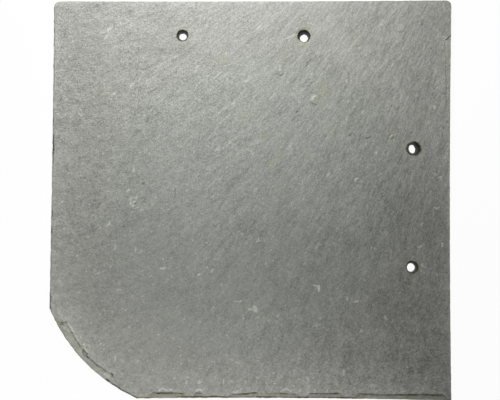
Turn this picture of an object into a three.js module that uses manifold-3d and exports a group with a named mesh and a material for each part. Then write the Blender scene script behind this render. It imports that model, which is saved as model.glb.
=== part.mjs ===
// A square roofing slate with one curved corner, split from natural stone and dressed by hand.
//
// The slate lies flat on its back. Units are millimetres and +Z is up, out of the weather face.
// X runs across the slate to the right and Y runs up the slope, towards the ridge. The origin is
// the middle of the slate's square, on its back.

import * as THREE from 'three';
import { LoftGeometry } from 'three/addons/geometries/LoftGeometry.js';
import { mergeVertices } from 'three/addons/utils/BufferGeometryUtils.js';
import Module from 'manifold-3d';

// ---- Driving dimensions ---------------------------------------------------------------------

// The slate before its corner is cut.
const slateWidth = 200;
const slateHeight = 200;
const slateThickness = 5;

// How far each corner strays from the true square, across and up, because it is cut by eye.
const topLeftStray = [ 0, - 0.4 ];
const topRightStray = [ 0.4, 0 ];
const bottomRightStray = [ - 0.2, 0.4 ];
const bottomLeftStray = [ - 0.4, 0 ];

// How far the middle of each side is dressed hollow.
const leftHollow = 0.2;
const topHollow = 0.3;
const rightHollow = 0.7;
const bottomHollow = 0.7;

// The curved cut across the lower left corner: what it takes off each side, and its radius.
const cutLeg = 44.5;
const cutRadius = 84;

// The upper corners are worn round: what the left one loses along the top and down the side, and
// what the right one loses both ways.
const leftWornAlong = 4.6;
const leftWornDown = 2.4;
const rightWorn = 3;

// Width of the steep chipped slope that the slater's knife leaves round the weather face.
const leftDressing = 1.5;
const topDressing = 1.1;
const rightDressing = 0.7;
const bottomDressing = 1.6;
const curveDressing = 1.9;
const chipPitch = 10;

// The stone breaks along its own layers. A clean shorn land stands on the back, and three more
// layers end at these depths under the weather face.
const shornLand = 1.2;
const slabDepth = 2;
const splitDepth = 1;
const skinDepth = 0.4;

// Flakes that came away along each side, anticlockwise: the share of the side where each starts
// and ends, how far it reaches in past the chipped slope at both of those places, and the lowest
// layer that went with it. Its ends taper out, but where one flake runs on from another they meet
// in a sharp break.
const curveFlakes = [
	{ from: 0.02, to: 0.15, reach: [ 1, 2 ], lowest: 'skin' },
	{ from: 0.15, to: 0.43, reach: [ 4.3, 2.9 ], lowest: 'split' },
	{ from: 0.43, to: 0.74, reach: [ 1.9, 3.6 ], lowest: 'split' },
	{ from: 0.74, to: 0.85, reach: [ 3.2, 0.6 ], lowest: 'split' },
];
const bottomFlakes = [
	{ from: 0.034, to: 0.161, reach: [ 2, 1.6 ], lowest: 'split' },
	{ from: 0.176, to: 0.216, reach: [ 1.9, 1.9 ], lowest: 'split' },
	{ from: 0.288, to: 0.397, reach: [ 0.9, 2.2 ], lowest: 'split' },
	{ from: 0.41, to: 0.521, reach: [ 2, 1.3 ], lowest: 'split' },
	{ from: 0.538, to: 0.66, reach: [ 1.6, 2.2 ], lowest: 'split' },
	{ from: 0.693, to: 0.77, reach: [ 2.1, 1.6 ], lowest: 'split' },
	{ from: 0.77, to: 0.988, reach: [ 1.7, 2.3 ], lowest: 'split' },
];
const rightFlakes = [
	{ from: 0.733, to: 0.926, reach: [ 1.9, 2.8 ], lowest: 'skin' },
];
const leftFlakes = [
	{ from: 0.457, to: 0.493, reach: [ 0.5, 0.5 ], lowest: 'slab' },
	{ from: 0.955, to: 0.99, reach: [ 0.4, 0.4 ], lowest: 'slab' },
];

// Nail holes, in rows along the top and the right side.
const holeFromSide = 19;
const nearHoleFromCorner = 74;
const farHoleFromCorner = 134;

// Each was punched through from the back, which burst a crater out of the weather face: how wide
// and high the hole is at the back and at the face, how deep its crater is, which way it leans,
// in degrees, how far the punch strayed from its mark, and how far the crater lies off the punch.
const holeShapes = {
	top_far: {
		bore: [ 3.7, 3.4 ], mouth: [ 6, 6.2 ], depth: 1, turn: 0,
		stray: [ - 0.5, 0.7 ], drift: [ 0.2, - 0.2 ],
	},
	top_near: {
		bore: [ 4, 3.8 ], mouth: [ 6.8, 6.8 ], depth: 1.5, turn: 45,
		stray: [ 0.6, 0 ], drift: [ - 0.1, 0.3 ],
	},
	right_near: {
		bore: [ 3.1, 4.1 ], mouth: [ 7.6, 7.2 ], depth: 1.9, turn: 14,
		stray: [ - 0.2, - 0.8 ], drift: [ 0.3, - 0.3 ],
	},
	right_far: {
		bore: [ 3.9, 4.1 ], mouth: [ 5.9, 6.1 ], depth: 1.1, turn: 10,
		stray: [ - 0.9, 0 ], drift: [ 0.1, 0.2 ],
	},
};

// How much of its widening a hole has done where its crater starts, and how uneven its wall is.
const craterStart = 0.45;
const wallUneven = 0.05;

// Small bursts round each crater's mouth, and how far each may reach past its rim.
const burstCount = 6;
const leastBurst = 1.6;
const mostBurst = 2.8;
const burstDepth = 0.6;
const burstReach = 0.4;

// A round, shallow scar that one blow left about the crater of the near top hole.
const scarDiameter = 9.2;
const scarDepth = 0.3;
const scarShift = [ 0.1, 0.3 ];

// ---- How finely it is drawn -----------------------------------------------------------------

const pointsPerChip = 3;
const pointsPerRound = 3;
const flakePitch = 2.2;
const holeSides = 18;
const burstSides = 8;
const burstBands = 5;
const scarSides = 24;
const scarBands = 7;

// Cutters run past the faces that they cut, by this much.
const overrun = 1;

// ---- Chance ---------------------------------------------------------------------------------

// The chips fall in the same places on every run.
const chanceSeed = 41;
THREE.MathUtils.seededRandom( chanceSeed );

function chance( low, high ) {

	return low + ( high - low ) * THREE.MathUtils.seededRandom();

}

// ---- Plane geometry -------------------------------------------------------------------------

function point( x, y, stray = [ 0, 0 ] ) {

	return new THREE.Vector2( x + stray[ 0 ], y + stray[ 1 ] );

}

function direction( from, to ) {

	return new THREE.Vector2().subVectors( to, from ).normalize();

}

// The way into the slate from an edge that is followed anticlockwise.
function inward( along ) {

	return new THREE.Vector2( - along.y, along.x );

}

function step( from, to, distance ) {

	return from.clone().addScaledVector( direction( from, to ), distance );

}

// A side from one corner to the next, moved into the slate.
function insetSide( from, to, inset ) {

	const shift = inward( direction( from, to ) ).multiplyScalar( inset );
	return { from: from.clone().add( shift ), to: to.clone().add( shift ) };

}

function crossing( first, second ) {

	const along = new THREE.Vector2().subVectors( first.to, first.from );
	const across = new THREE.Vector2().subVectors( second.to, second.from );
	const gap = new THREE.Vector2().subVectors( second.from, first.from );
	return first.from.clone().addScaledVector( along, gap.cross( across ) / along.cross( across ) );

}

// Where a side that runs out of a circle leaves it.
function meetCircle( side, centre, radius ) {

	const along = direction( side.from, side.to );
	const foot = step( side.from, side.to, new THREE.Vector2().subVectors( centre, side.from ).dot( along ) );
	const reach = Math.sqrt( radius ** 2 - foot.distanceToSquared( centre ) );
	return foot.addScaledVector( along, reach );

}

// ---- Outline --------------------------------------------------------------------------------

const topLeft = point( - slateWidth / 2, slateHeight / 2, topLeftStray );
const topRight = point( slateWidth / 2, slateHeight / 2, topRightStray );
const bottomRight = point( slateWidth / 2, - slateHeight / 2, bottomRightStray );
const bottomLeft = point( - slateWidth / 2, - slateHeight / 2, bottomLeftStray );

// The curved cut swells outwards, so its centre lies inside the slate.
const cutStart = step( bottomLeft, topLeft, cutLeg );
const cutEnd = step( bottomLeft, bottomRight, cutLeg );
const halfChord = cutStart.distanceTo( cutEnd ) / 2;
const cutCentre = cutStart.clone().lerp( cutEnd, 0.5 )
	.addScaledVector( inward( direction( cutStart, cutEnd ) ), Math.sqrt( cutRadius ** 2 - halfChord ** 2 ) );

function hollowSide( from, to, hollow ) {

	const pull = inward( direction( from, to ) ).multiplyScalar( 2 * hollow );
	return new THREE.QuadraticBezierCurve( from, from.clone().lerp( to, 0.5 ).add( pull ), to );

}

function cutArc( from, to, radius ) {

	const start = new THREE.Vector2().subVectors( from, cutCentre ).angle();
	const end = new THREE.Vector2().subVectors( to, cutCentre ).angle();
	return new THREE.ArcCurve( cutCentre.x, cutCentre.y, radius, start, end );

}

// The slate's edge, anticlockwise from the curved cut. The share says how much of the chipped
// slope has been climbed, from 0 at the back to 1 at the weather face.
function edgeCurves( share ) {

	const left = insetSide( topLeft, bottomLeft, share * leftDressing );
	const bottom = insetSide( bottomLeft, bottomRight, share * bottomDressing );
	const right = insetSide( bottomRight, topRight, share * rightDressing );
	const top = insetSide( topRight, topLeft, share * topDressing );

	const lowerRight = crossing( bottom, right );
	const upperRight = crossing( right, top );
	const upperLeft = crossing( top, left );

	const radius = cutRadius - share * curveDressing;
	const leftEnd = meetCircle( left, cutCentre, radius );
	const bottomStart = meetCircle( { from: bottom.to, to: bottom.from }, cutCentre, radius );

	const rightRoundStart = step( upperRight, lowerRight, rightWorn );
	const rightRoundEnd = step( upperRight, upperLeft, rightWorn );
	const leftRoundStart = step( upperLeft, upperRight, leftWornAlong );
	const leftRoundEnd = step( upperLeft, leftEnd, leftWornDown );

	return [
		cutArc( leftEnd, bottomStart, radius ),
		hollowSide( bottomStart, lowerRight, bottomHollow ),
		hollowSide( lowerRight, rightRoundStart, rightHollow ),
		new THREE.QuadraticBezierCurve( rightRoundStart, upperRight, rightRoundEnd ),
		hollowSide( rightRoundEnd, leftRoundStart, topHollow ),
		new THREE.QuadraticBezierCurve( leftRoundStart, upperLeft, leftRoundEnd ),
		hollowSide( leftRoundEnd, leftEnd, leftHollow ),
	];

}

// How each of those curves is dressed. The worn corners have no chips.
const dressings = [
	{ width: curveDressing, flakes: curveFlakes },
	{ width: bottomDressing, flakes: bottomFlakes },
	{ width: rightDressing, flakes: rightFlakes },
	{ width: rightDressing, worn: true },
	{ width: topDressing, flakes: [] },
	{ width: topDressing, worn: true },
	{ width: leftDressing, flakes: leftFlakes },
];

// ---- Layers ---------------------------------------------------------------------------------

// From the back up: what each layer is called and the height at which it starts.
const layers = [
	{ name: 'land', foot: 0 },
	{ name: 'body', foot: shornLand },
	{ name: 'slab', foot: slateThickness - slabDepth },
	{ name: 'split', foot: slateThickness - splitDepth },
	{ name: 'skin', foot: slateThickness - skinDepth },
];

// How far a layer's broken edge leans back as it rises, as a share of its part of the slope.
const layerLean = 0.25;

// ---- Chips ----------------------------------------------------------------------------------

// Each blow of the knife takes one chip. Borders between chips are uneven, a chip bites into
// every layer by a different share of its part of the slope, and the ridge between two chips
// is left standing.
const borderUneven = 0.3;
const shallowestBite = 0.1;
const deepestBite = 0.65;

// A flake's edge wanders between these shares of its reach. Each end tapers out over a length or
// over a share of the flake, whichever is less, and a break between two flakes is short.
const leastReach = 0.88;
const mostReach = 1.08;
const taperLength = 2.4;
const taperShare = 0.25;
const breakLength = 0.7;

// One station: where it lies, and how far every layer is bitten and flaked back there.
function station( along, ridge, lowest, flaked ) {

	return {
		along,
		bites: layers.map( () => ridge ? 0 : chance( shallowestBite, deepestBite ) ),
		flaked: layers.map( ( _, layer ) => layer >= lowest ? flaked : 0 ),
	};

}

// Stations along a stretch of a side between two flakes. Each chip starts at a ridge.
function strikeChips( from, to, length ) {

	const count = Math.max( 1, Math.round( length / chipPitch ) );
	const borders = [ 0 ];
	for ( let i = 1; i < count; i ++ ) {

		borders.push( ( i + chance( - borderUneven, borderUneven ) ) / count );

	}

	borders.push( 1 );

	const stations = [];
	for ( let i = 0; i < count * pointsPerChip; i ++ ) {

		const chip = Math.floor( i / pointsPerChip );
		const share = i / pointsPerChip - chip;
		const along = THREE.MathUtils.lerp( borders[ chip ], borders[ chip + 1 ], share );
		stations.push( station( THREE.MathUtils.lerp( from, to, along ), share === 0, layers.length, 0 ) );

	}

	return stations;

}

// Stations along one flake: one at its start, where the side isn't flaked yet unless the flake
// before it ends there, then the flake's own, between its tapered ends.
function strikeFlake( { from, to, reach, lowest }, length, joined ) {

	const layer = layers.findIndex( ( { name } ) => name === lowest );
	const taper = Math.min( taperLength / length, taperShare );
	const start = joined > 0 ? breakLength / length : taper;
	const count = Math.max( 2, Math.round( length / flakePitch ) );
	const stations = [ station( from, true, layer, joined ) ];
	for ( let i = 0; i <= count; i ++ ) {

		const share = THREE.MathUtils.lerp( start, 1 - taper, i / count );
		const flaked = THREE.MathUtils.lerp( ...reach, share ) * chance( leastReach, mostReach );
		stations.push( station( THREE.MathUtils.lerp( from, to, share ), false, layer, flaked ) );

	}

	return stations;

}

function strikeSide( curve, flakes ) {

	const breaks = [ ...new Set( [ 0, ...flakes.flatMap( ( { from, to } ) => [ from, to ] ), 1 ] ) ];
	const stations = [];
	for ( let i = 1; i < breaks.length; i ++ ) {

		const [ from, to ] = [ breaks[ i - 1 ], breaks[ i ] ];
		const length = ( to - from ) * curve.getLength();
		const flake = flakes.find( ( candidate ) => candidate.from === from );
		const before = flakes.find( ( candidate ) => candidate.to === from );
		const joined = before ? before.reach[ 1 ] : 0;
		stations.push( ...flake ? strikeFlake( flake, length, joined ) : strikeChips( from, to, length ) );

	}

	return stations;

}

function wornStations() {

	const none = layers.map( () => 0 );
	return Array.from( { length: pointsPerRound }, ( _, i ) => (
		{ along: i / pointsPerRound, bites: none, flaked: none } ) );

}

const edgeStations = edgeCurves( 0 ).map( ( curve, i ) =>
	dressings[ i ].worn ? wornStations() : strikeSide( curve, dressings[ i ].flakes ) );

// One closed ring of points: the foot or the crest of a layer's broken edge.
function layerRing( layer, lean, z ) {

	const ring = [];
	edgeCurves( ( layer + lean ) / layers.length ).forEach( ( curve, i ) => {

		for ( const { along, bites, flaked } of edgeStations[ i ] ) {

			const back = bites[ layer ] * dressings[ i ].width / layers.length + flaked[ layer ];
			const place = curve.getPoint( along ).addScaledVector( inward( curve.getTangent( along ) ), back );
			ring.push( new THREE.Vector3( place.x, place.y, z ) );

		}

	} );
	return ring;

}

function dressedPlate() {

	const rings = layers.flatMap( ( { foot }, layer ) => {

		const crest = layers[ layer + 1 ]?.foot ?? slateThickness;
		return [ layerRing( layer, 0, foot ), layerRing( layer, layerLean, crest ) ];

	} );
	return new LoftGeometry( rings, { capStart: true, capEnd: true } );

}

// ---- Nail holes -----------------------------------------------------------------------------

const holeMarks = {
	top_far: [ slateWidth / 2 - farHoleFromCorner, slateHeight / 2 - holeFromSide ],
	top_near: [ slateWidth / 2 - nearHoleFromCorner, slateHeight / 2 - holeFromSide ],
	right_near: [ slateWidth / 2 - holeFromSide, slateHeight / 2 - nearHoleFromCorner ],
	right_far: [ slateWidth / 2 - holeFromSide, slateHeight / 2 - farHoleFromCorner ],
};

// One ring of a hole's wall, at a height. The share says how far the hole has widened there, from
// 0 at the back to 1 at the weather face. Each point of it swells or shrinks by its own amount.
function wallRing( { bore, mouth, turn, drift }, share, height, swells ) {

	const radii = [ 0, 1 ].map( ( axis ) => THREE.MathUtils.lerp( bore[ axis ], mouth[ axis ], share ) / 2 );
	const centre = point( ...drift ).multiplyScalar( share );
	return swells.map( ( swell, i ) => {

		const angle = i / holeSides * 2 * Math.PI;
		const place = point( radii[ 0 ] * Math.cos( angle ), radii[ 1 ] * Math.sin( angle ) )
			.multiplyScalar( swell )
			.rotateAround( new THREE.Vector2(), THREE.MathUtils.degToRad( turn ) )
			.add( centre );
		return new THREE.Vector3( place.x, place.y, height );

	} );

}

// The hollow of one hole: the punch's way up to where the crater starts, then the crater's flare.
function punchedHollow( shape ) {

	const throat = slateThickness - shape.depth;
	const below = craterStart * - overrun / throat;
	const above = 1 + ( 1 - craterStart ) * overrun / shape.depth;
	const swells = Array.from( { length: holeSides }, () => chance( 1 - wallUneven, 1 + wallUneven ) );
	const rings = [
		wallRing( shape, below, - overrun, swells ),
		wallRing( shape, craterStart, throat, swells ),
		wallRing( shape, above, slateThickness + overrun, swells ),
	];
	return new LoftGeometry( rings, { capStart: true, capEnd: true } );

}

// A shallow scoop out of the weather face.
function scoop( diameter, depth, sides, bands ) {

	return new THREE.SphereGeometry( diameter / 2, sides, bands ).rotateX( Math.PI / 2 )
		.scale( 1, 1, depth / ( diameter / 2 ) ).translate( 0, 0, slateThickness );

}

// Bursts round a crater's mouth, each reaching a little past its rim.
function mouthBursts( { mouth, drift } ) {

	const bursts = [];
	for ( let i = 0; i < burstCount; i ++ ) {

		const angle = ( i + chance( 0, 1 ) ) / burstCount * 2 * Math.PI;
		const diameter = chance( leastBurst, mostBurst );
		const inset = diameter / 2 - chance( 0, burstReach );
		const x = drift[ 0 ] + ( mouth[ 0 ] / 2 - inset ) * Math.cos( angle );
		const y = drift[ 1 ] + ( mouth[ 1 ] / 2 - inset ) * Math.sin( angle );
		bursts.push( scoop( diameter, burstDepth, burstSides, burstBands ).translate( x, y, 0 ) );

	}

	return bursts;

}

function holeCutters() {

	const cutters = [];
	for ( const [ name, shape ] of Object.entries( holeShapes ) ) {

		const { x, y } = point( ...holeMarks[ name ], shape.stray );
		for ( const hollow of [ punchedHollow( shape ), ...mouthBursts( shape ) ] ) {

			cutters.push( hollow.translate( x, y, 0 ) );

		}

	}

	const scar = point( ...holeMarks.top_near, holeShapes.top_near.stray );
	cutters.push( scoop( scarDiameter, scarDepth, scarSides, scarBands )
		.translate( scar.x + scarShift[ 0 ], scar.y + scarShift[ 1 ], 0 ) );
	return cutters;

}

// ---- Solids ---------------------------------------------------------------------------------

const wasm = await Module();
wasm.setup();

function toSolid( geometry ) {

	const bare = new THREE.BufferGeometry().copy( geometry );
	bare.deleteAttribute( 'normal' );
	bare.deleteAttribute( 'uv' );
	const merged = mergeVertices( bare );
	const corners = Array.from( merged.index.array );
	const triVerts = [];
	for ( let i = 0; i < corners.length; i += 3 ) {

		const triangle = corners.slice( i, i + 3 );
		if ( new Set( triangle ).size === 3 ) triVerts.push( ...triangle );

	}

	return new wasm.Manifold( new wasm.Mesh( {
		numProp: 3,
		vertProperties: merged.getAttribute( 'position' ).array,
		triVerts: Uint32Array.from( triVerts ),
	} ) );

}

function toGeometry( solid ) {

	const { vertProperties, triVerts } = solid.getMesh();
	const geometry = new THREE.BufferGeometry();
	geometry.setAttribute( 'position', new THREE.BufferAttribute( vertProperties, 3 ) );
	geometry.setIndex( new THREE.BufferAttribute( triVerts, 1 ) );
	geometry.computeVertexNormals();
	return geometry;

}

// ---- The slate ------------------------------------------------------------------------------

const slateStone = new THREE.MeshStandardMaterial( {
	color: 0x83847e,
	roughness: 0.7,
	metalness: 0,
	flatShading: true,
} );

function makeSlate() {

	let solid = toSolid( dressedPlate() );
	for ( const cutter of holeCutters() ) solid = solid.subtract( toSolid( cutter ) );
	const slate = new THREE.Mesh( toGeometry( solid ), slateStone );
	slate.name = 'slate';
	return slate;

}

const group = new THREE.Group();
group.add( makeSlate() );

export default group;
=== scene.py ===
"""Looks of a hand-dressed roofing slate that lies on its back, weather face up.

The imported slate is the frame. Its chipped edges, flaked ledges and burst nail holes are kept and cut
finer, and its two cleft faces are meshed afresh, closely enough to carry the riven relief and every
nick. Lengths are in millimetres, and are turned into metres where a mesh or a lamp is made.
"""

import logging
import math
from dataclasses import dataclass, field, fields
from enum import Enum
from functools import reduce
from typing import Callable, Sequence

import bmesh
import bpy
import numpy as np
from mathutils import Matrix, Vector, geometry, kdtree


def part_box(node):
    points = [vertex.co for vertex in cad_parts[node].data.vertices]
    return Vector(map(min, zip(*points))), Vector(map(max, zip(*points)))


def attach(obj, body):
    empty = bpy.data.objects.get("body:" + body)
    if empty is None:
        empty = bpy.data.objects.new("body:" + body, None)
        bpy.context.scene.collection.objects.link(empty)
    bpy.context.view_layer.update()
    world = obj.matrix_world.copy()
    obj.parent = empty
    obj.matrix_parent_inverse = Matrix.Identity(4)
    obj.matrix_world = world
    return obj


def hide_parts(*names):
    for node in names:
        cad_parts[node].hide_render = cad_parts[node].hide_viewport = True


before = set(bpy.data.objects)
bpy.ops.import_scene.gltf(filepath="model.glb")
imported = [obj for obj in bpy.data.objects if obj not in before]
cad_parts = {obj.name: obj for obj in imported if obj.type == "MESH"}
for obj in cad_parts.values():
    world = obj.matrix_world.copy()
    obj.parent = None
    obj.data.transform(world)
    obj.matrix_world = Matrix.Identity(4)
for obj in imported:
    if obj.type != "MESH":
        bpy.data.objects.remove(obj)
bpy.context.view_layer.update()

LOG = logging.getLogger("slate")
MM = 0.001
NODE = "slate"
BODY = "root"
SLOT = "slate_stone"

Colour = tuple[float, float, float]
Place = tuple[float, float]
Spot = tuple[float, float, float]
Socket = bpy.types.NodeSocket
Sockets = dict[str, Socket]

SEED_LEANS = (1, 0.7, 1.3)
TRIANGLE_SIDES = [0, 1, 1, 2, 2, 0]


# ---- Node trees -----------------------------------------------------------------------------------


@dataclass(frozen=True)
class Ramp:
    """A smooth change: where it starts and ends, and the results there and beyond."""

    low: float
    high: float
    to_low: float = 0
    to_high: float = 1


@dataclass(frozen=True)
class Spread:
    """A change across the slate times a change up it."""

    across: Ramp
    up: Ramp


@dataclass(frozen=True)
class Pattern:
    """A noise: how long its bumps are along each axis, in millimetres, and a seed that moves it.

    Detail is how many finer octaves it has, and rough is how strong they are. Strength is how much of
    the noise is used, and ramp is what it passes through first, if anything.
    """

    size: Sequence[float] | None
    seed: float
    detail: float = 2
    rough: float = 0.5
    strength: float = 1
    ramp: Ramp | None = None


class Wiring:
    """A node tree while it is being wired, for a finish or for a shape."""

    def __init__(self, tree: bpy.types.NodeTree) -> None:
        """Start from an empty tree.

        Args:
            tree: the tree to fill. Any nodes in it are removed.
        """
        self.tree = tree
        tree.nodes.clear()

    def add(self, kind: str, inputs: dict | None = None, **settings: object) -> bpy.types.Node:
        """Add a node.

        Args:
            kind: the node's type name.
            inputs: input name or number to a plain value, or to the socket that feeds it.
            settings: the node's own properties, such as operation.

        Returns:
            The new node.
        """
        node = self.tree.nodes.new(kind)
        for name, value in settings.items():
            setattr(node, name, value)
        for name, value in (inputs or {}).items():
            if isinstance(value, Socket):
                self.tree.links.new(value, node.inputs[name])
            else:
                node.inputs[name].default_value = value
        return node

    def math(self, operation: str, *values: Socket | float) -> Socket:
        """Return the result of a Math node."""
        return self.add("ShaderNodeMath", dict(enumerate(values)), operation=operation).outputs[0]

    def vector(self, operation: str, *values: Socket | Sequence[float]) -> Socket:
        """Return the vector that a Vector Math node makes."""
        return self.add("ShaderNodeVectorMath", dict(enumerate(values)), operation=operation).outputs[0]

    def combine(self, x: Socket | float = 0, y: Socket | float = 0, z: Socket | float = 0) -> Socket:
        """Return a vector made of three numbers."""
        return self.add("ShaderNodeCombineXYZ", {"X": x, "Y": y, "Z": z}).outputs[0]

    def split(self, vector: Socket) -> Sequence[Socket]:
        """Return a vector's three numbers."""
        return self.add("ShaderNodeSeparateXYZ", {0: vector}).outputs

    def scale(self, vector: Socket, factor: Socket | float) -> Socket:
        """Return a vector or a colour times a number."""
        return self.add("ShaderNodeVectorMath", {0: vector, "Scale": factor}, operation="SCALE").outputs[0]

    def distance(self, place: Socket, spot: Spot) -> Socket:
        """Return how far places lie from a spot."""
        return self.add("ShaderNodeVectorMath", {0: place, 1: spot}, operation="DISTANCE").outputs["Value"]

    def total(self, *values: Socket | float) -> Socket:
        """Return the sum of several numbers."""
        return reduce(lambda whole, value: self.math("ADD", whole, value), values)

    def product(self, *values: Socket | float) -> Socket:
        """Return the product of several numbers."""
        return reduce(lambda whole, value: self.math("MULTIPLY", whole, value), values)

    def ramp(self, value: Socket, ramp: Ramp) -> Socket:
        """Move a value smoothly from one range to another, and hold it inside.

        Args:
            value: the number to move.
            ramp: where the change starts and ends, and the results there.

        Returns:
            The moved value.
        """
        ends = {"From Min": ramp.low, "From Max": ramp.high, "To Min": ramp.to_low, "To Max": ramp.to_high}
        inputs = {"Value": value, **ends}
        return self.add("ShaderNodeMapRange", inputs, interpolation_type="SMOOTHSTEP").outputs["Result"]

    def spread(self, place: Socket, spread: Spread) -> Socket:
        """Wire a change across the slate times a change up it.

        Args:
            place: places in millimetres.
            spread: both changes.

        Returns:
            Their product at each place.
        """
        x, y, _ = self.split(place)
        return self.math("MULTIPLY", self.ramp(x, spread.across), self.ramp(y, spread.up))

    def pattern(self, place: Socket, pattern: Pattern, size: Socket | None = None) -> Socket:
        """Add a noise, as a number about 0 that seldom passes a third either way.

        Args:
            place: where it is read, in millimetres.
            pattern: the noise, and the ramp that it passes through, if it has one.
            size: how long its bumps are, where the pattern doesn't say.

        Returns:
            The noise, or what the ramp makes of it.
        """
        read = self.vector("DIVIDE", place, pattern.size if size is None else size)
        read = self.vector("ADD", read, tuple(lean * pattern.seed for lean in SEED_LEANS))
        inputs = {"Vector": read, "Scale": 1, "Detail": pattern.detail, "Roughness": pattern.rough}
        value = self.math("SUBTRACT", self.add("ShaderNodeTexNoise", inputs).outputs[0], 0.5)
        return self.ramp(value, pattern.ramp) if pattern.ramp else value

    def mix(self, share: Socket, below: Socket | Colour, above: Socket | Colour) -> Socket:
        """Mix two colours.

        Args:
            share: how much of the upper one shows, from 0 to 1.
            below: the lower colour.
            above: the upper colour.

        Returns:
            The mixed colour.
        """
        node = self.add("ShaderNodeMix", data_type="RGBA")
        for name, value in {"Factor": share, "A": below, "B": above}.items():
            socket = next(s for s in node.inputs if s.name == name and s.enabled)
            if isinstance(value, Socket):
                self.tree.links.new(value, socket)
            else:
                socket.default_value = (*value, 1)
        return next(s for s in node.outputs if s.enabled)

    def tone(self, colour: Socket, share: Socket) -> Socket:
        """Return a colour made lighter or darker by a share of itself."""
        return self.scale(colour, self.math("ADD", share, 1.0))


@dataclass(frozen=True)
class Grain:
    """The way that the stone's grain runs: an angle in degrees from X, and how it turns with X and Y."""

    angle: float = 52
    turn_across: float = 0.27
    turn_up: float = -0.15

    def lay_out(self, wiring: Wiring, place: Socket) -> Socket:
        """Turn places so that X follows the grain and Y crosses it.

        Args:
            wiring: the tree to wire it in.
            place: places in millimetres.

        Returns:
            The turned places.
        """
        x, y, _ = wiring.split(place)
        across = wiring.math("MULTIPLY", x, -math.radians(self.turn_across))
        up = wiring.math("MULTIPLY_ADD", y, -math.radians(self.turn_up), -math.radians(self.angle))
        inputs = {"Vector": place, "Angle": wiring.total(across, up)}
        return wiring.add("ShaderNodeVectorRotate", inputs, rotation_type="Z_AXIS").outputs[0]


# ---- Marks on the weather face --------------------------------------------------------------------


class MarkKind(Enum):
    """What a mark on the weather face is."""

    FLECK = "a pale grain that stands a little proud"
    # A pit's darkness is painted shade in the hollow.
    PIT = "a small hollow where a grain fell out"
    LIP = "the broken edge of a thin flake, with the lower side on its right"
    SCRATCH = "a fine pale groove"
    STAIN = "a patch where the stone has turned olive"
    # SOOT_AND_SHADE: black growth on the edges, and painted shade along part of the bottom riser's foot and
    # round the holes' mouths.
    SOOT_AND_SHADE = "a stretch of edge that is black with old growth"
    # SHADOW_GAP marks no wear: it weakens the painted shadow at the risers' feet along a stretch of edge.
    SHADOW_GAP = "a stretch of edge whose crevice has worn shallow and pale"


BRINK_SHARE = 0.3
CRUMB_WIDTHS = (0.27, 0.38)
CRUMB_HEIGHT = 0.1
CRUMB_BEND = 0.35
PIT_SHADE = 0.45
SHADOW_GAP_WIDTH = 1.6


@dataclass(frozen=True)
class Mark:
    """One mark: its line, its width, its height or depth, and how strongly it colours the stone."""

    kind: MarkKind
    line: Sequence[Place]
    width: float
    relief: float
    strength: float = 0.0

    @property
    def trait(self) -> str:
        """Return the name of the attribute that the mark's colour goes into."""
        names = {MarkKind.STAIN: "stain", MarkKind.SOOT_AND_SHADE: "soot_and_shade", MarkKind.PIT: "soot_and_shade", MarkKind.SHADOW_GAP: "worn"}
        return names.get(self.kind, "pale")

    def offsets(self, points: np.ndarray) -> tuple[np.ndarray, np.ndarray]:
        """Measure how far points lie from the mark's line.

        Args:
            points: N by 2 places.

        Returns:
            Each point's distance from the line, and 1 where it lies on the line's left, else -1.
        """
        line = np.array(self.line, float)
        distance = np.full(len(points), np.inf)
        side = np.ones(len(points))
        for start, end in zip(line[:-1], line[1:]):
            along = end - start
            share = np.clip((points - start) @ along / (along @ along), 0, 1)
            off = points - start - share[:, None] * along
            away = np.hypot(off[:, 0], off[:, 1])
            nearer = away < distance
            distance[nearer] = away[nearer]
            side[nearer] = np.sign(along[0] * off[nearer, 1] - along[1] * off[nearer, 0])
        return distance, side

    def lift(self, distance: np.ndarray, side: np.ndarray) -> np.ndarray:
        """Work out how much the mark lifts each point.

        Args:
            distance: how far each point lies from the mark's line.
            side: 1 where it lies on the line's left, else -1.

        Returns:
            The lifts, which are below 0 where the mark is a hollow.
        """
        bump = np.exp(-((distance / self.width) ** 2))
        if self.kind in (MarkKind.STAIN, MarkKind.SOOT_AND_SHADE, MarkKind.SHADOW_GAP):
            return np.zeros(len(distance))
        if self.kind is MarkKind.FLECK:
            return self.relief * bump
        if self.kind is MarkKind.LIP:
            return np.where(side > 0, 0, -self.relief * np.exp(-distance / self.width))
        return -self.relief * bump

    def tint(self, distance: np.ndarray) -> np.ndarray:
        """Return how strongly the mark colours each point. Only the brink of a lip is pale, which paints a
        highlight along the step's upper edge.
        """
        reach = self.width * (BRINK_SHARE if self.kind is MarkKind.LIP else 1)
        return self.strength * np.exp(-((distance / reach) ** 2))

    def beads(self, reach: float) -> list[tuple[float, float, float]]:
        """Cover the mark with discs.

        Args:
            reach: the least radius of a disc.

        Returns:
            Each disc's centre and radius.
        """
        radius = max(reach, self.width * (1 if self.kind is MarkKind.LIP else 2))
        discs = []
        for start, end in zip(self.line[:-1], self.line[1:]):
            count = max(1, math.ceil(math.dist(start, end) / radius))
            for i in range(count + 1):
                x, y = (a + (b - a) * i / count for a, b in zip(start, end))
                discs.append((x, y, radius))
        return discs


def dash(
    kind: MarkKind, place: Place, length: float, turn: float, width: float, relief: float, strength: float
) -> Mark:
    """Make a short straight mark.

    Args:
        kind: what it is.
        place: its middle.
        length: how long it is.
        turn: which way it runs, in degrees from X.
        width: how wide it is.
        relief: how high it stands, or how deep it goes.
        strength: how strongly it colours the stone, from 0 to 1.

    Returns:
        The mark.
    """
    reach = (length / 2 * math.cos(math.radians(turn)), length / 2 * math.sin(math.radians(turn)))
    ends = [(place[0] + side * reach[0], place[1] + side * reach[1]) for side in (-1, 1)]
    return Mark(kind, ends, width, relief, strength)


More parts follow.
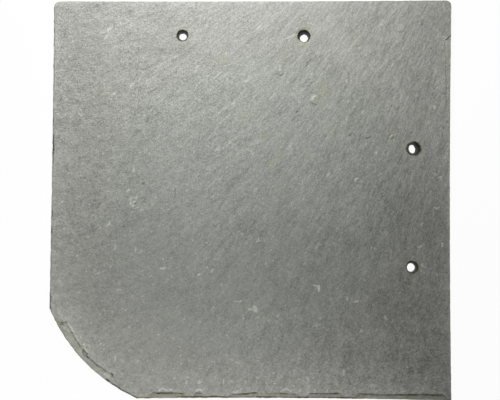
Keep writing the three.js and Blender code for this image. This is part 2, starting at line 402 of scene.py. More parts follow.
def arc(middle: Place, radii: Place, start: float, end: float, pitch: float = 30) -> list[Place]:
    """Return places along an oval.

    Args:
        middle: the oval's middle.
        radii: half of its width and half of its height.
        start: where the arc starts, in degrees from X.
        end: where it ends.
        pitch: how many degrees lie between two places, at most.

    Returns:
        The places.
    """
    count = math.ceil((end - start) / pitch)
    angles = [math.radians(start + (end - start) * i / count) for i in range(count + 1)]
    return [(middle[0] + radii[0] * math.cos(a), middle[1] + radii[1] * math.sin(a)) for a in angles]


def crumb(place: Place, length: float, turn: float, pale: float, rng: np.random.Generator) -> Mark:
    """Make a pale fleck, bent in the middle by chance.

    Args:
        place: its middle.
        length: how long it is.
        turn: which way it runs, in degrees from X.
        pale: how pale it is, from 0 to 1.
        rng: the chance.

    Returns:
        The fleck.
    """
    straight = dash(MarkKind.FLECK, place, length, turn, rng.uniform(*CRUMB_WIDTHS), CRUMB_HEIGHT, pale)
    start, end = straight.line
    bend = rng.uniform(-CRUMB_BEND, CRUMB_BEND) * length
    middle = (place[0] - bend * math.sin(math.radians(turn)), place[1] + bend * math.cos(math.radians(turn)))
    return Mark(straight.kind, (start, middle, end), straight.width, straight.relief, pale)


def flecks(seed: int = 29) -> list[Mark]:
    """Place the pale flecks that stand out: each row is a place, a length, a turn and how pale it is.

    Args:
        seed: picks how each is bent.

    Returns:
        The flecks on the face, then pale dashes along the crests of the ledges, partly painted highlight
        where the crests catch the light and partly pale wear.
    """
    on_face = [
        ((4, -59), 1.2, 20, 0.8), ((-4.7, -51.1), 1.2, 30, 0.6), ((3.8, -20.7), 2.2, 55, 0.8),
        ((-31, -91.2), 1.2, 80, 0.9), ((-24.5, -91.2), 1.4, 10, 1), ((-12.5, -90.5), 1.8, 85, 0.7),
        ((-55.3, -81.6), 1.6, 75, 0.4), ((-70.3, -13), 1.4, 60, 0.9), ((-67.1, -24.6), 2.2, 80, 0.6),
        ((-54.1, -26.2), 1, 70, 0.35), ((-43.3, -34.9), 2.2, 5, 0.7), ((-25.2, -37.9), 1.2, 30, 0.9),
        ((-18.4, -36.1), 1.4, 60, 0.55), ((-26.6, 65.6), 1.4, 40, 0.7), ((-68.5, 52.1), 1.8, 20, 0.7),
        ((-85.4, 41.4), 1.6, 130, 0.4), ((70.6, 67), 1.2, 60, 0.5), ((91.7, 45.7), 1.4, 90, 1),
        ((70, 31.1), 1.8, 45, 0.6), ((73.1, 46.1), 1.4, 120, 0.5), ((94, 10.7), 1.8, 30, 1),
        ((52.7, 9.3), 1.8, 50, 1), ((39, 11.7), 2.2, 55, 0.7), ((85.3, -32.9), 1.4, 80, 0.8),
        ((84.1, -23.4), 2.2, 15, 1), ((48.4, -49.5), 1.4, 100, 1), ((53, -50.7), 1.4, 20, 1),
        ((67.5, -58.6), 1.6, 120, 0.9), ((55.2, -65.4), 1.2, 40, 0.7), ((33.6, -62.5), 2.6, 10, 0.6),
        ((28.8, -88.9), 1.6, 100, 1), ((46.6, -85.7), 2.4, 85, 0.9), ((87, -88.4), 1.6, 60, 0.9),
        ((52.1, -91.1), 1.2, 30, 0.6), ((95.2, -22.7), 1.8, 70, 1), ((92.5, -4.2), 2.4, 5, 0.9),
        ((57, 62.7), 1.2, 45, 0.5), ((56, 43.2), 1.2, 60, 0.7), ((-59.3, -0.6), 1, 60, 0.7),
        ((-57.8, -2.1), 1, 30, 0.8), ((-59.6, -2.9), 1, 100, 0.7), ((-58, -4.1), 1.2, 45, 0.8),
        ((-56.8, -0.1), 1, 20, 0.6), ((-55.1, -27.5), 1, 30, 0.35),
    ]
    # Pale dashes along the ledges' crests: partly painted highlight where a crest catches the light, partly
    # pale wear.
    crests = [
        ((-42.6, -95.4), 3.8, 2, 1), ((-38.8, -95), 1.2, 10, 1), ((-35.4, -95.4), 4.2, 0, 0.35),
        ((-24.7, -95.3), 3, 0, 1), ((-6.7, -95.5), 2.4, 10, 0.9), ((-3.9, -94.7), 1.4, 60, 0.8),
        ((18.2, -95.1), 5, 3, 1), ((25.1, -94.6), 1.6, 80, 0.9), ((81.1, -94.8), 1.6, 5, 0.4),
        ((85, -94.6), 1.8, 10, 0.9), ((-94.4, -57), 3.2, 119, 0.5), ((-92.8, -60), 2.8, 116, 0.55),
        ((-89.8, -63.4), 1.8, 130, 0.8), ((-88.5, -65.2), 2, 112, 1), ((-87.8, -66.8), 1.8, 118, 0.8),
        ((-86.2, -69.4), 3, 122, 0.55), ((-84.6, -71.8), 2, 120, 0.5), ((-82.2, -73.8), 2.2, 122, 0.8),
        ((-80.6, -76.2), 2, 128, 0.9), ((-78, -78.4), 3.4, 142, 0.25), ((-69.3, -88.7), 1.2, 140, 0.9),
        ((-71, -88.2), 2, 140, 0.9), ((-67.4, -89.9), 1.2, 150, 0.5),
    ]
    rng = np.random.default_rng(seed)
    return [crumb(*row, rng) for row in on_face + crests]


def chips() -> list[Mark]:
    """Place the few larger pale chips, and the hollows and olive patches beside them.

    Returns:
        The marks that make them up.
    """
    rows = {
        MarkKind.FLECK: [
            ([(30.9, 49.2), (31, 50.4), (32.3, 51.2)], 0.5, 0.12, 0.66),
            ([(-66.3, -78.2), (-66.5, -80.8)], 0.3, 0.1, 0.75),
            ([(14.7, 66.6), (14.6, 64.2)], 0.4, 0.08, 0.35), ([(14.4, 64.2), (15, 64)], 0.5, 0.1, 0.6),
            ([(31.6, -43), (33, -43.2), (34.4, -43.4)], 0.32, 0.1, 0.8),
            ([(34.4, -43.4), (34.3, -45.6)], 0.45, 0.12, 1),
            ([(33.4, -43.6), (34, -44.6)], 0.4, 0.08, 0.7), ([(-0.5, -55.2), (1.8, -55)], 0.4, 0.08, 0.7),
            ([(2.2, -53.6), (3.3, -54.6), (3.4, -56), (2.2, -55.6)], 0.55, 0.1, 0.7),
            ([(-75.4, 83.3), (-74.2, 83.2)], 0.7, 0.05, 0.45),
            ([(-72, 84.2), (-70.2, 85.6)], 0.8, 0.06, 0.5),
            ([(-73, 80.6), (-72.6, 81.2)], 0.5, 0.05, 0.4), ([(94.8, 10.6), (94.6, 9.6)], 0.4, 0.1, 0.8),
            ([(91.6, 12.6), (92.2, 12)], 0.4, 0.08, 0.5), ([(69.9, 31), (70.7, 31.8)], 0.3, 0.06, 0.5),
            ([(80.6, -28.7), (80.9, -28.7)], 0.35, 0.06, 0.6),
            ([(84.5, -35.2), (84.8, -35.3)], 0.35, 0.06, 0.6),
            ([(86, -36.2), (86.2, -36.5)], 0.4, 0.06, 0.5),
            ([(85.2, -32.4), (85.4, -33.2)], 0.5, 0.08, 1), ([(74.9, -93.3), (75.1, -94.4)], 0.5, 0.1, 1),
            ([(75, -94.9), (77.2, -94.4)], 0.45, 0.1, 1), ([(90.8, -93), (91.5, -92.5)], 0.45, 0.1, 1),
            ([(86.9, -88), (87.1, -89)], 0.4, 0.1, 0.9), ([(95.1, -22.2), (95.3, -23.4)], 0.45, 0.1, 1),
            ([(-24.8, -91.3), (-24.1, -91.1)], 0.45, 0.1, 1),
            ([(46.5, -84.8), (46.7, -86.6)], 0.4, 0.1, 0.9),
            ([(90.2, -35.6), (90.6, -36.2)], 0.35, 0.06, 0.4),
            ([(91.6, -36.8), (92.4, -37.2)], 0.4, 0.06, 0.45),
            ([(86.4, -33.6), (87.2, -33.9)], 0.3, 0.06, 0.5), ([(58, -97.7), (76, -97.7)], 0.9, 0, 0.28),
            ([(94.7, 81), (97.2, 80.8), (97.4, 76.2)], 0.4, 0.08, 0.35),
            ([(96.2, 97.4), (96.7, 93.8)], 0.5, 0.08, 0.3),
        ],
        MarkKind.PIT: [
            ([(30.9, 47.3), (32.6, 46.4), (33.2, 46.6)], 0.5, 0.16, 0.5),
            ([(30.8, 52.4), (32.4, 52.6)], 0.5, 0.08, 0.4),
            ([(13.6, 61.9), (15, 61.2), (16.2, 62.1)], 0.6, 0.2, 0.4),
        ],
        MarkKind.STAIN: [
            ([(34, 50.6), (36.8, 55.6)], 1.6, 0, 0.5), ([(69.2, 30.6), (70.8, 32.4)], 0.6, 0, 0.8),
        ],
    }
    return [Mark(kind, *row) for kind, chips_of_kind in rows.items() for row in chips_of_kind]


def stains() -> list[Mark]:
    """Place the olive stains.

    Returns:
        Small patches on the face, then the flaked ledges that have turned.
    """
    spots = [
        ((7.3, 30.6), 2.4, 60, 1.2, 0.6), ((14.8, 20.6), 2, 30, 1, 0.7), ((40.1, 34.6), 2, 70, 1, 0.75),
        ((10.3, 18.1), 1.6, 50, 1, 0.7), ((14.9, 4.1), 2, 20, 1, 0.6), ((52, 79), 4, 80, 1.6, 0.3),
        ((-4.2, 40.6), 1.8, 40, 1, 0.55), ((-14, 68.8), 2.4, 20, 1.2, 0.45),
        ((28.6, 21.6), 3, 70, 1.4, 0.3), ((16, 72), 3, 40, 1.4, 0.3), ((83, 40), 2.4, 60, 1, 0.4),
        ((82.2, 22.8), 1.6, 100, 0.7, 0.9),
    ]
    ledges = [
        ([(-42.4, -97.4), (-32.6, -97.5)], 0.9, 0.9), ([(67.4, -97.9), (91, -98.2)], 0.8, 0.8),
        ([(-56, -99.2), (-44, -98.8), (-20, -98.7), (40, -98.8)], 1, 1),
        ([(40, -98.8), (54, -98.6)], 0.8, 0.8), ([(54, -98), (76, -98.4)], 1, 0.7),
        ([(-96.5, -60.1), (-91.6, -70), (-84.4, -79.4), (-78.4, -85.3), (-74.2, -87.9)], 0.7, 0.7),
        ([(16, -98), (22, -98)], 0.6, 0.4), ([(52, -98), (62, -98.2)], 0.6, 0.4),
    ]
    patches = [dash(MarkKind.STAIN, *spot, 0, share) for *spot, share in spots]
    return patches + [Mark(MarkKind.STAIN, line, width, 0, share) for line, width, share in ledges]


def soot_and_shade() -> list[Mark]:
    """Place the near-black marks: black growth, and painted shade along part of the bottom riser and round
    the holes' mouths.

    Returns:
        Stretches of the bottom, the curved cut and the left side, then arcs round the holes' mouths.
    """
    stretches = [
        ([(-33.5, -98.5), (-21.9, -98.4), (-11.5, -98.4)], 0.48, 1),
        ([(-19, -98.2), (-15.8, -98.1)], 0.6, 1), ([(3.9, -98.4), (12.3, -98.4)], 0.6, 1),
        ([(22.2, -98.4), (39, -98.4)], 0.6, 1), ([(39, -98.4), (49.9, -98.5)], 0.6, 1),
        ([(49.9, -98.6), (68.6, -98.9)], 0.35, 0.75),
        ([(-70.8, -90), (-68.3, -92.1), (-63.3, -95.2), (-55.7, -99.2)], 0.5, 0.9),
        ([(-55.7, -99.2), (-45.5, -98.9)], 0.35, 0.6), ([(-36.4, -98.7), (-33.5, -98.5)], 0.4, 0.7),
        # The stretches near y -96.5, from x -47.6 to -34, lie at the riser's foot and paint its shadow.
        ([(-47.6, -96.3), (-45.4, -96.6)], 0.3, 0.8), ([(-45.4, -96.7), (-43.4, -96.6)], 0.5, 1),
        ([(-43.4, -96.5), (-40.6, -96.7), (-38, -96.5)], 0.56, 1),
        ([(-38, -96.5), (-34, -96.6)], 0.34, 0.7), ([(-11.5, -98.4), (3.9, -98.4)], 0.36, 0.6),
        ([(12.3, -98.4), (22.2, -98.4)], 0.48, 0.95), ([(-94.1, -63.1), (-92.3, -63.6)], 0.3, 0.65),
        ([(-82.4, -75.6), (-81, -76.7), (-80.3, -77.6)], 0.5, 0.9),
        ([(-68.3, -87.2), (-67.7, -87.8)], 0.6, 0.9), ([(-99.3, 96), (-99.3, 88.5)], 0.5, 0.9),
        ([(-99.3, 85.4), (-99.2, 76.8)], 0.45, 0.8), ([(-99.2, 70), (-99.1, 49.3)], 0.4, 0.8),
        ([(-99.1, 45.5), (-99, 36.5)], 0.45, 0.8), ([(-99, 31.5), (-98.9, 22)], 0.7, 1),
        ([(-98.9, 22), (-98.9, 17.6)], 0.5, 0.9), ([(-99, -6.6), (-99, -9.6)], 0.5, 0.9),
        ([(-99, -15), (-99, -17.6)], 0.5, 0.9), ([(-99.2, -30), (-99.2, -38)], 0.35, 0.6),
        ([(-99.2, -49), (-99.4, -55.7)], 0.45, 0.9),
    ]
    # Arcs of painted shade on the shaded sides of the holes' mouths, with black growth.
    mouths = [
        ((-34.3, 81.5), (2.4, 2.5), 30, 220, 0.75, 1), ((-34.3, 81.5), (2.6, 2.7), 220, 370, 0.35, 0.7),
        ((26.5, 81.3), (2.6, 2.7), -20, 150, 0.75, 1), ((26.6, 81.1), (2.6, 2.65), -80, 0, 0.45, 1),
        ((81.1, 24.9), (3, 2.9), -70, 140, 0.9, 1), ((80.2, -33.8), (2.5, 2.6), -90, 130, 0.75, 1),
        ((80.2, -33.85), (2.7, 2.65), 120, 310, 0.45, 1),
    ]
    rings = [(arc(*bow), width, share) for *bow, width, share in mouths]
    return [Mark(MarkKind.SOOT_AND_SHADE, line, width, 0, share) for line, width, share in stretches + rings]


def worn() -> list[Mark]:
    """Place the gaps in the painted shadow at the risers' feet.

    Returns:
        The stretches where the painted shadow is weakened, partly or wholly.
    """
    stretches = [
        ([(-29.6, -96.4), (-21, -96.4)], 0.4), ([(-10, -96.6), (5, -96)], 0.1),
        ([(4.4, -97), (14.2, -96.2)], 0.85), ([(14.2, -96.2), (24.6, -97)], 0.4),
        ([(29, -96.4), (44, -96.4)], 0.35), ([(45.2, -96.3), (46.5, -96.4)], 0.9),
        ([(46.5, -96.6), (54, -96.6)], 0.7), ([(54, -96.6), (58.6, -96.4)], 0.45),
        ([(58.6, -96.4), (63, -96.6)], 0.3), ([(63, -96.6), (67.4, -96.8)], 0.85),
        ([(67.4, -96.8), (78, -96.8)], 0.38), ([(78, -96.8), (95.6, -96.9)], 0.42),
        ([(95.8, -97.2), (99.6, -98.8)], 1), ([(-94.6, -57.6), (-89.6, -64.6)], 0.5),
        ([(-89.6, -64.6), (-83.4, -74)], 0.45), ([(-80, -77.6), (-69.4, -86.4)], 0.58),
        ([(-66.4, -88.8), (-62, -94)], 0.8),
    ]
    return [Mark(MarkKind.SHADOW_GAP, line, SHADOW_GAP_WIDTH, 0, share) for line, share in stretches]


def pits() -> list[Mark]:
    """Place the small hollows, darkened with painted shade: each row is a place, a length, a turn, a width
    and a depth.

    Returns:
        The hollows.
    """
    hollows = [
        ((-51.7, 38.9), 1.6, 60, 0.9, 0.2), ((-53.7, 7), 1.2, 20, 0.8, 0.14),
        ((-43.5, 59.3), 1.6, 30, 0.5, 0.14), ((-49, -86.5), 1.4, 80, 0.5, 0.16),
        ((74.4, 83.3), 0.8, 0, 0.7, 0.18), ((23.2, 43.1), 0.8, 20, 0.5, 0.14),
        ((37.6, 30.7), 1, 60, 0.45, 0.14), ((85.6, 87.2), 0.9, 40, 0.6, 0.14),
        ((28.6, 67.6), 4.6, 55, 0.4, 0.1), ((49.5, 31.7), 1.8, 35, 0.6, 0.12),
        ((58.8, 30.4), 2.4, 20, 0.5, 0.1), ((-37.4, 2.4), 4.6, 90, 0.35, 0.1),
        ((73.6, 45), 1, 60, 0.5, 0.12), ((70.8, 30), 1.2, 30, 0.5, 0.12),
        ((-68.9, 86.4), 3.4, 85, 0.35, 0.1), ((-58.8, -5.6), 1.2, 60, 0.4, 0.12),
        ((-57.3, -3.1), 1.2, 60, 0.4, 0.12), ((-96.4, 30.2), 1.2, 60, 0.4, 0.12),
    ]
    return [dash(MarkKind.PIT, *row, PIT_SHADE) for row in hollows]


def lips() -> list[Mark]:
    """Place the edges of thin flakes.

    Returns:
        Those beside both top holes, a few cracks, and two low crests.
    """
    far_top = [
        (-38.6, 84.9), (-38.1, 86.8), (-36.6, 87.8), (-32.6, 86.6), (-29.8, 86.3), (-28.8, 83.8),
        (-28, 79.5),
    ]
    near_top = [(22.9, 82), (20.8, 81.6), (18, 80.2)]
    chevron = [(12.2, 52.6), (11, 51.6), (9.4, 49.8)]
    upper_seam = [(-60.9, 29.2), (-60.4, 24), (-60.9, 18.4)]
    lower_seam = [(-60.3, 7.6), (-59.6, 3.4), (-59.3, -1.2)]
    edge_crack = [(-97.6, 46), (-95.5, 43.4)]
    right_flake = [(90, -33.6), (91.8, -35.4), (92.7, -39)]
    low_line = [(53.6, -53), (53.9, -57), (54, -60.4)]
    upper_crest = [(-58.4, 56), (-53.4, 59.5), (-49.4, 60.6), (-39.4, 60.1)]
    left_crest = [(-95.6, 52.9), (-89.6, 59), (-83.6, 62)]
    return [
        Mark(MarkKind.LIP, far_top, 1.6, 0.14, 0.15),
        Mark(MarkKind.LIP, near_top, 1.2, 0.16, 0.3),
        Mark(MarkKind.LIP, chevron, 1, 0.14, 0.2),
        Mark(MarkKind.LIP, upper_seam, 1, 0.09),
        Mark(MarkKind.LIP, lower_seam, 0.9, 0.09),
        Mark(MarkKind.LIP, edge_crack, 0.8, 0.12),
        Mark(MarkKind.LIP, right_flake, 1, 0.08, 0.15),
        Mark(MarkKind.LIP, low_line, 0.8, 0.07),
        Mark(MarkKind.LIP, upper_crest, 1.6, 0.12, 0.1),
        Mark(MarkKind.LIP, left_crest, 1.4, 0.1, 0.1),
    ]


def scratches() -> list[Mark]:
    """Place the fine scratches.

    Returns:
        A pair near the top, a faint one over them, and a long one on the left.
    """
    return [
        dash(MarkKind.SCRATCH, (-17.3, 61.3), 6.8, 38, 0.2, 0.04, 0.45),
        dash(MarkKind.SCRATCH, (-12.4, 62), 4, 42, 0.18, 0.04, 0.35),
        dash(MarkKind.SCRATCH, (12, 94.3), 5.4, 28, 0.25, 0.06, 0.1),
        dash(MarkKind.SCRATCH, (-89.7, -14.8), 17, -54, 0.4, 0.05, 0.18),
    ]


@dataclass(frozen=True)
class Scatter:
    """The many small marks that nobody would place by hand."""

    count: int = 90
    margin: float = 6
    turn_spread: float = 30
    lengths: tuple[float, float] = (0.4, 1.8)
    widths: tuple[float, float] = (0.35, 0.6)
    relief: float = 0.08
    fleck_tints: tuple[float, float] = (0.1, 0.5)
    pit_shade: float = 0.2
    seed: int = 7

    def marks(self, half: float, grain: Grain) -> list[Mark]:
        """Strew flecks and pits over the face, mostly along the grain.

        Args:
            half: half of the slate's width.
            grain: the way that the stone's grain runs.

        Returns:
            The marks.
        """
        rng = np.random.default_rng(self.seed)
        strewn = []
        for i in range(self.count):
            place = tuple(rng.uniform(self.margin - half, half - self.margin, 2))
            turn = grain.angle + rng.normal(0, self.turn_spread)
            width = rng.uniform(*self.widths)
            kind = MarkKind.FLECK if i % 2 else MarkKind.PIT
            tint = rng.uniform(*self.fleck_tints) if i % 2 else self.pit_shade
            strewn.append(dash(kind, place, rng.uniform(*self.lengths), turn, width, self.relief, tint))
        return strewn


# ---- Meshing --------------------------------------------------------------------------------------


@dataclass
class Shell:
    """A surface while it is being made: places in millimetres, and triangles."""

    points: np.ndarray
    triangles: np.ndarray

    def open_edges(self, height: float, slack: float = 0.001) -> np.ndarray:
        """Find the edges at one height that only one triangle has.

        Args:
            height: where they lie.
            slack: how far from there an end may be.

        Returns:
            N by 2 point numbers.
        """
        pairs = np.sort(self.triangles[:, TRIANGLE_SIDES].reshape(-1, 2), axis=1)
        edges, uses = np.unique(pairs, axis=0, return_counts=True)
        level = np.abs(self.points[edges][:, :, 2] - height).max(axis=1) < slack
        return edges[(uses == 1) & level]

    def beyond_rim(self, corners: np.ndarray) -> np.ndarray:
        """Keep the triangles of a new face that lie on the open side of the edges round it.

        Args:
            corners: triangles that fill the face and every hole in it.

        Returns:
            Those that leave the holes open.
        """
        count = int(max(corners.max(), self.triangles.max())) + 1
        ahead, back = np.array([count, 1]), np.array([1, count])
        old = self.triangles[:, TRIANGLE_SIDES].reshape(-1, 2)
        new = corners[:, TRIANGLE_SIDES].reshape(-1, 3, 2)
        taken, ways, returns = old @ ahead, new @ ahead, new @ back
        lost = np.isin(ways, taken).any(axis=1)
        passable = ~np.isin(ways, taken) & ~np.isin(returns, taken)
        while True:
            edge = returns[lost][passable[lost]]
            reached = np.isin(ways, edge).any(axis=1) & ~lost
            if not reached.any():
                return corners[~lost]
            lost |= reached

    def cut_finer(self, limits_at: Callable[[np.ndarray], np.ndarray]) -> None:
        """Halve every edge that is too long, until none is.

        Args:
            limits_at: says how long an edge may be at each of N places.
        """
        while True:
            corners = self.triangles
            pairs = np.sort(np.stack([corners, np.roll(corners, -1, axis=1)], axis=2), axis=2)
            edges, owners = np.unique(pairs.reshape(-1, 2), axis=0, return_inverse=True)
            starts, ends = self.points[edges[:, 0]], self.points[edges[:, 1]]
            middles = (starts + ends) / 2
            long = np.linalg.norm(ends - starts, axis=1) > limits_at(middles)
            if not long.any():
                return
            numbers = len(self.points) + np.cumsum(long) - 1
            self.points = np.concatenate([self.points, middles[long]])
            owners = owners.reshape(-1, 3)
            self.triangles = self.halved(corners, long[owners], numbers[owners])

    def halved(self, corners: np.ndarray, cut: np.ndarray, middles: np.ndarray) -> np.ndarray:
        """Divide triangles at the middles of some of their edges.

        Args:
            corners: the triangles.
            cut: which of each triangle's three edges are cut, each edge starting at its own corner.
            middles: the number of the point in the middle of each edge.

        Returns:
            The smaller triangles.
        """
        count = cut.sum(axis=1)
        first = np.select([count == 1, count == 2], [cut.argmax(axis=1), ((~cut).argmax(axis=1) + 1) % 3], 0)
        turn = (np.arange(3) + first[:, None]) % 3
        a, b, c = np.take_along_axis(corners, turn, axis=1).T
        ab, bc, ca = np.take_along_axis(middles, turn, axis=1).T
        one, two, three = (count == number for number in (1, 2, 3))
        slant = np.zeros(len(corners), bool)
        slant[two] = np.linalg.norm(self.points[a[two]] - self.points[bc[two]], axis=1) < np.linalg.norm(
            self.points[ab[two]] - self.points[c[two]], axis=1
        )
        plans = [
            (count == 0, [(a, b, c)]),
            (one, [(a, ab, c), (ab, b, c)]),
            (two & slant, [(ab, b, bc), (a, ab, bc), (a, bc, c)]),
            (two & ~slant, [(ab, b, bc), (a, ab, c), (ab, bc, c)]),
            (three, [(a, ab, ca), (ab, b, bc), (ca, bc, c), (ab, bc, ca)]),
        ]
        pieces = [np.stack(piece, axis=1)[chosen] for chosen, plan in plans for piece in plan]
        return np.concatenate(pieces)


def loops_of(edges: np.ndarray) -> list[np.ndarray]:
    """Chain edges into closed loops.

    Args:
        edges: N by 2 point numbers, each number in two edges.

    Returns:
        The point numbers of each loop in order, the longest loop first.
    """
    beside: dict[int, list[int]] = {}
    for a, b in edges.tolist():
        beside.setdefault(a, []).append(b)
        beside.setdefault(b, []).append(a)
    loops = []
    while beside:
        start = next(iter(beside))
        loop, here = [start], beside[start][0]
        previous = start
        while here != start:
            loop.append(here)
            onward = [n for n in beside[here] if n != previous]
            previous, here = here, onward[0]
        for number in loop:
            beside.pop(number)
        loops.append(np.array(loop))
    return sorted(loops, key=len, reverse=True)


def inside(points: np.ndarray, starts: np.ndarray, ends: np.ndarray, batch: int = 4000) -> np.ndarray:
    """Test which points lie inside an outline and outside its holes, by counting crossings.

    Args:
        points: N by 2 places.
        starts: where each edge of the outline and the holes starts.
        ends: where each of them ends.
        batch: how many points are tested at a time.

    Returns:
        True for each point inside.
    """
    rise = ends - starts
    result = np.zeros(len(points), bool)
    for first in range(0, len(points), batch):
        x, y = points[first : first + batch, 0, None], points[first : first + batch, 1, None]
        spans = (starts[:, 1] > y) != (ends[:, 1] > y)
        with np.errstate(divide="ignore", invalid="ignore"):
            crossing = starts[:, 0] + (y - starts[:, 1]) * rise[:, 0] / rise[:, 1]
        result[first : first + batch] = (spans & (crossing > x)).sum(axis=1) % 2 == 1
    return result


def strewn_lattice(low: np.ndarray, high: np.ndarray, spacing: float, uneven: float, seed: int) -> np.ndarray:
    """Lay points in rows, each set off from the last, and shift each a little at random.

    Args:
        low: the lowest corner of the area.
        high: its highest corner.
        spacing: how far apart the points are.
        uneven: how far one may be shifted, as a share of the spacing.
        seed: picks the shifts.

    Returns:
        N by 2 places.
    """
    row_gap = spacing * math.sqrt(3) / 2
    rows = np.arange(math.ceil(low[1] / row_gap), math.floor(high[1] / row_gap) + 1)
    columns = np.arange(math.ceil(low[0] / spacing), math.floor(high[0] / spacing) + 1)
    column, row = (grid.ravel() for grid in np.meshgrid(columns, rows))
    points = np.stack([(column + row % 2 / 2) * spacing, row * row_gap], axis=1)
    shifts = np.random.default_rng(seed).uniform(-uneven, uneven, points.shape)
    return points + spacing * shifts


def nearest(points: np.ndarray, others: np.ndarray) -> np.ndarray:
    """Measure how far points lie from the nearest of some others.

    Args:
        points: N by 2 places.
        others: the places to measure from.

    Returns:
        Each point's distance.
    """
    tree = kdtree.KDTree(len(others))
    for number, (x, y) in enumerate(others.tolist()):
        tree.insert((x, y, 0), number)
    tree.balance()
    return np.array([tree.find((x, y, 0))[2] for x, y in points.tolist()])


# ---- Riven relief ---------------------------------------------------------------------------------


SWELL = Pattern(None, 3.1, detail=1)
WAVE = Pattern(None, 11.7, detail=1)
RIPPLE = Pattern(None, 5.3, detail=1)
STEPS = (
    Pattern(None, 23.9, detail=4, ramp=Ramp(-0.012, 0.012)),
    Pattern(None, 31.4, detail=4, ramp=Ramp(0.05, 0.072)),
)
BACK_SWELL = Pattern(None, 41.3)
BACK_WAVE = Pattern(None, 47.7)
EDGE_LAYERS = Pattern((3.2, 3.2, 0.7), 53.9, detail=3)
EDGE_CRUMBS = Pattern((0.9, 0.9, 0.45), 61.1, detail=1)
NOISE_LIFT = 0.4
FACE_FADES = Ramp(0.4, 0.72)
BACK_FADES = Ramp(0.04, 0.24, 1, 0)
BACK_HOLLOWS = Ramp(-0.12, 0.4)


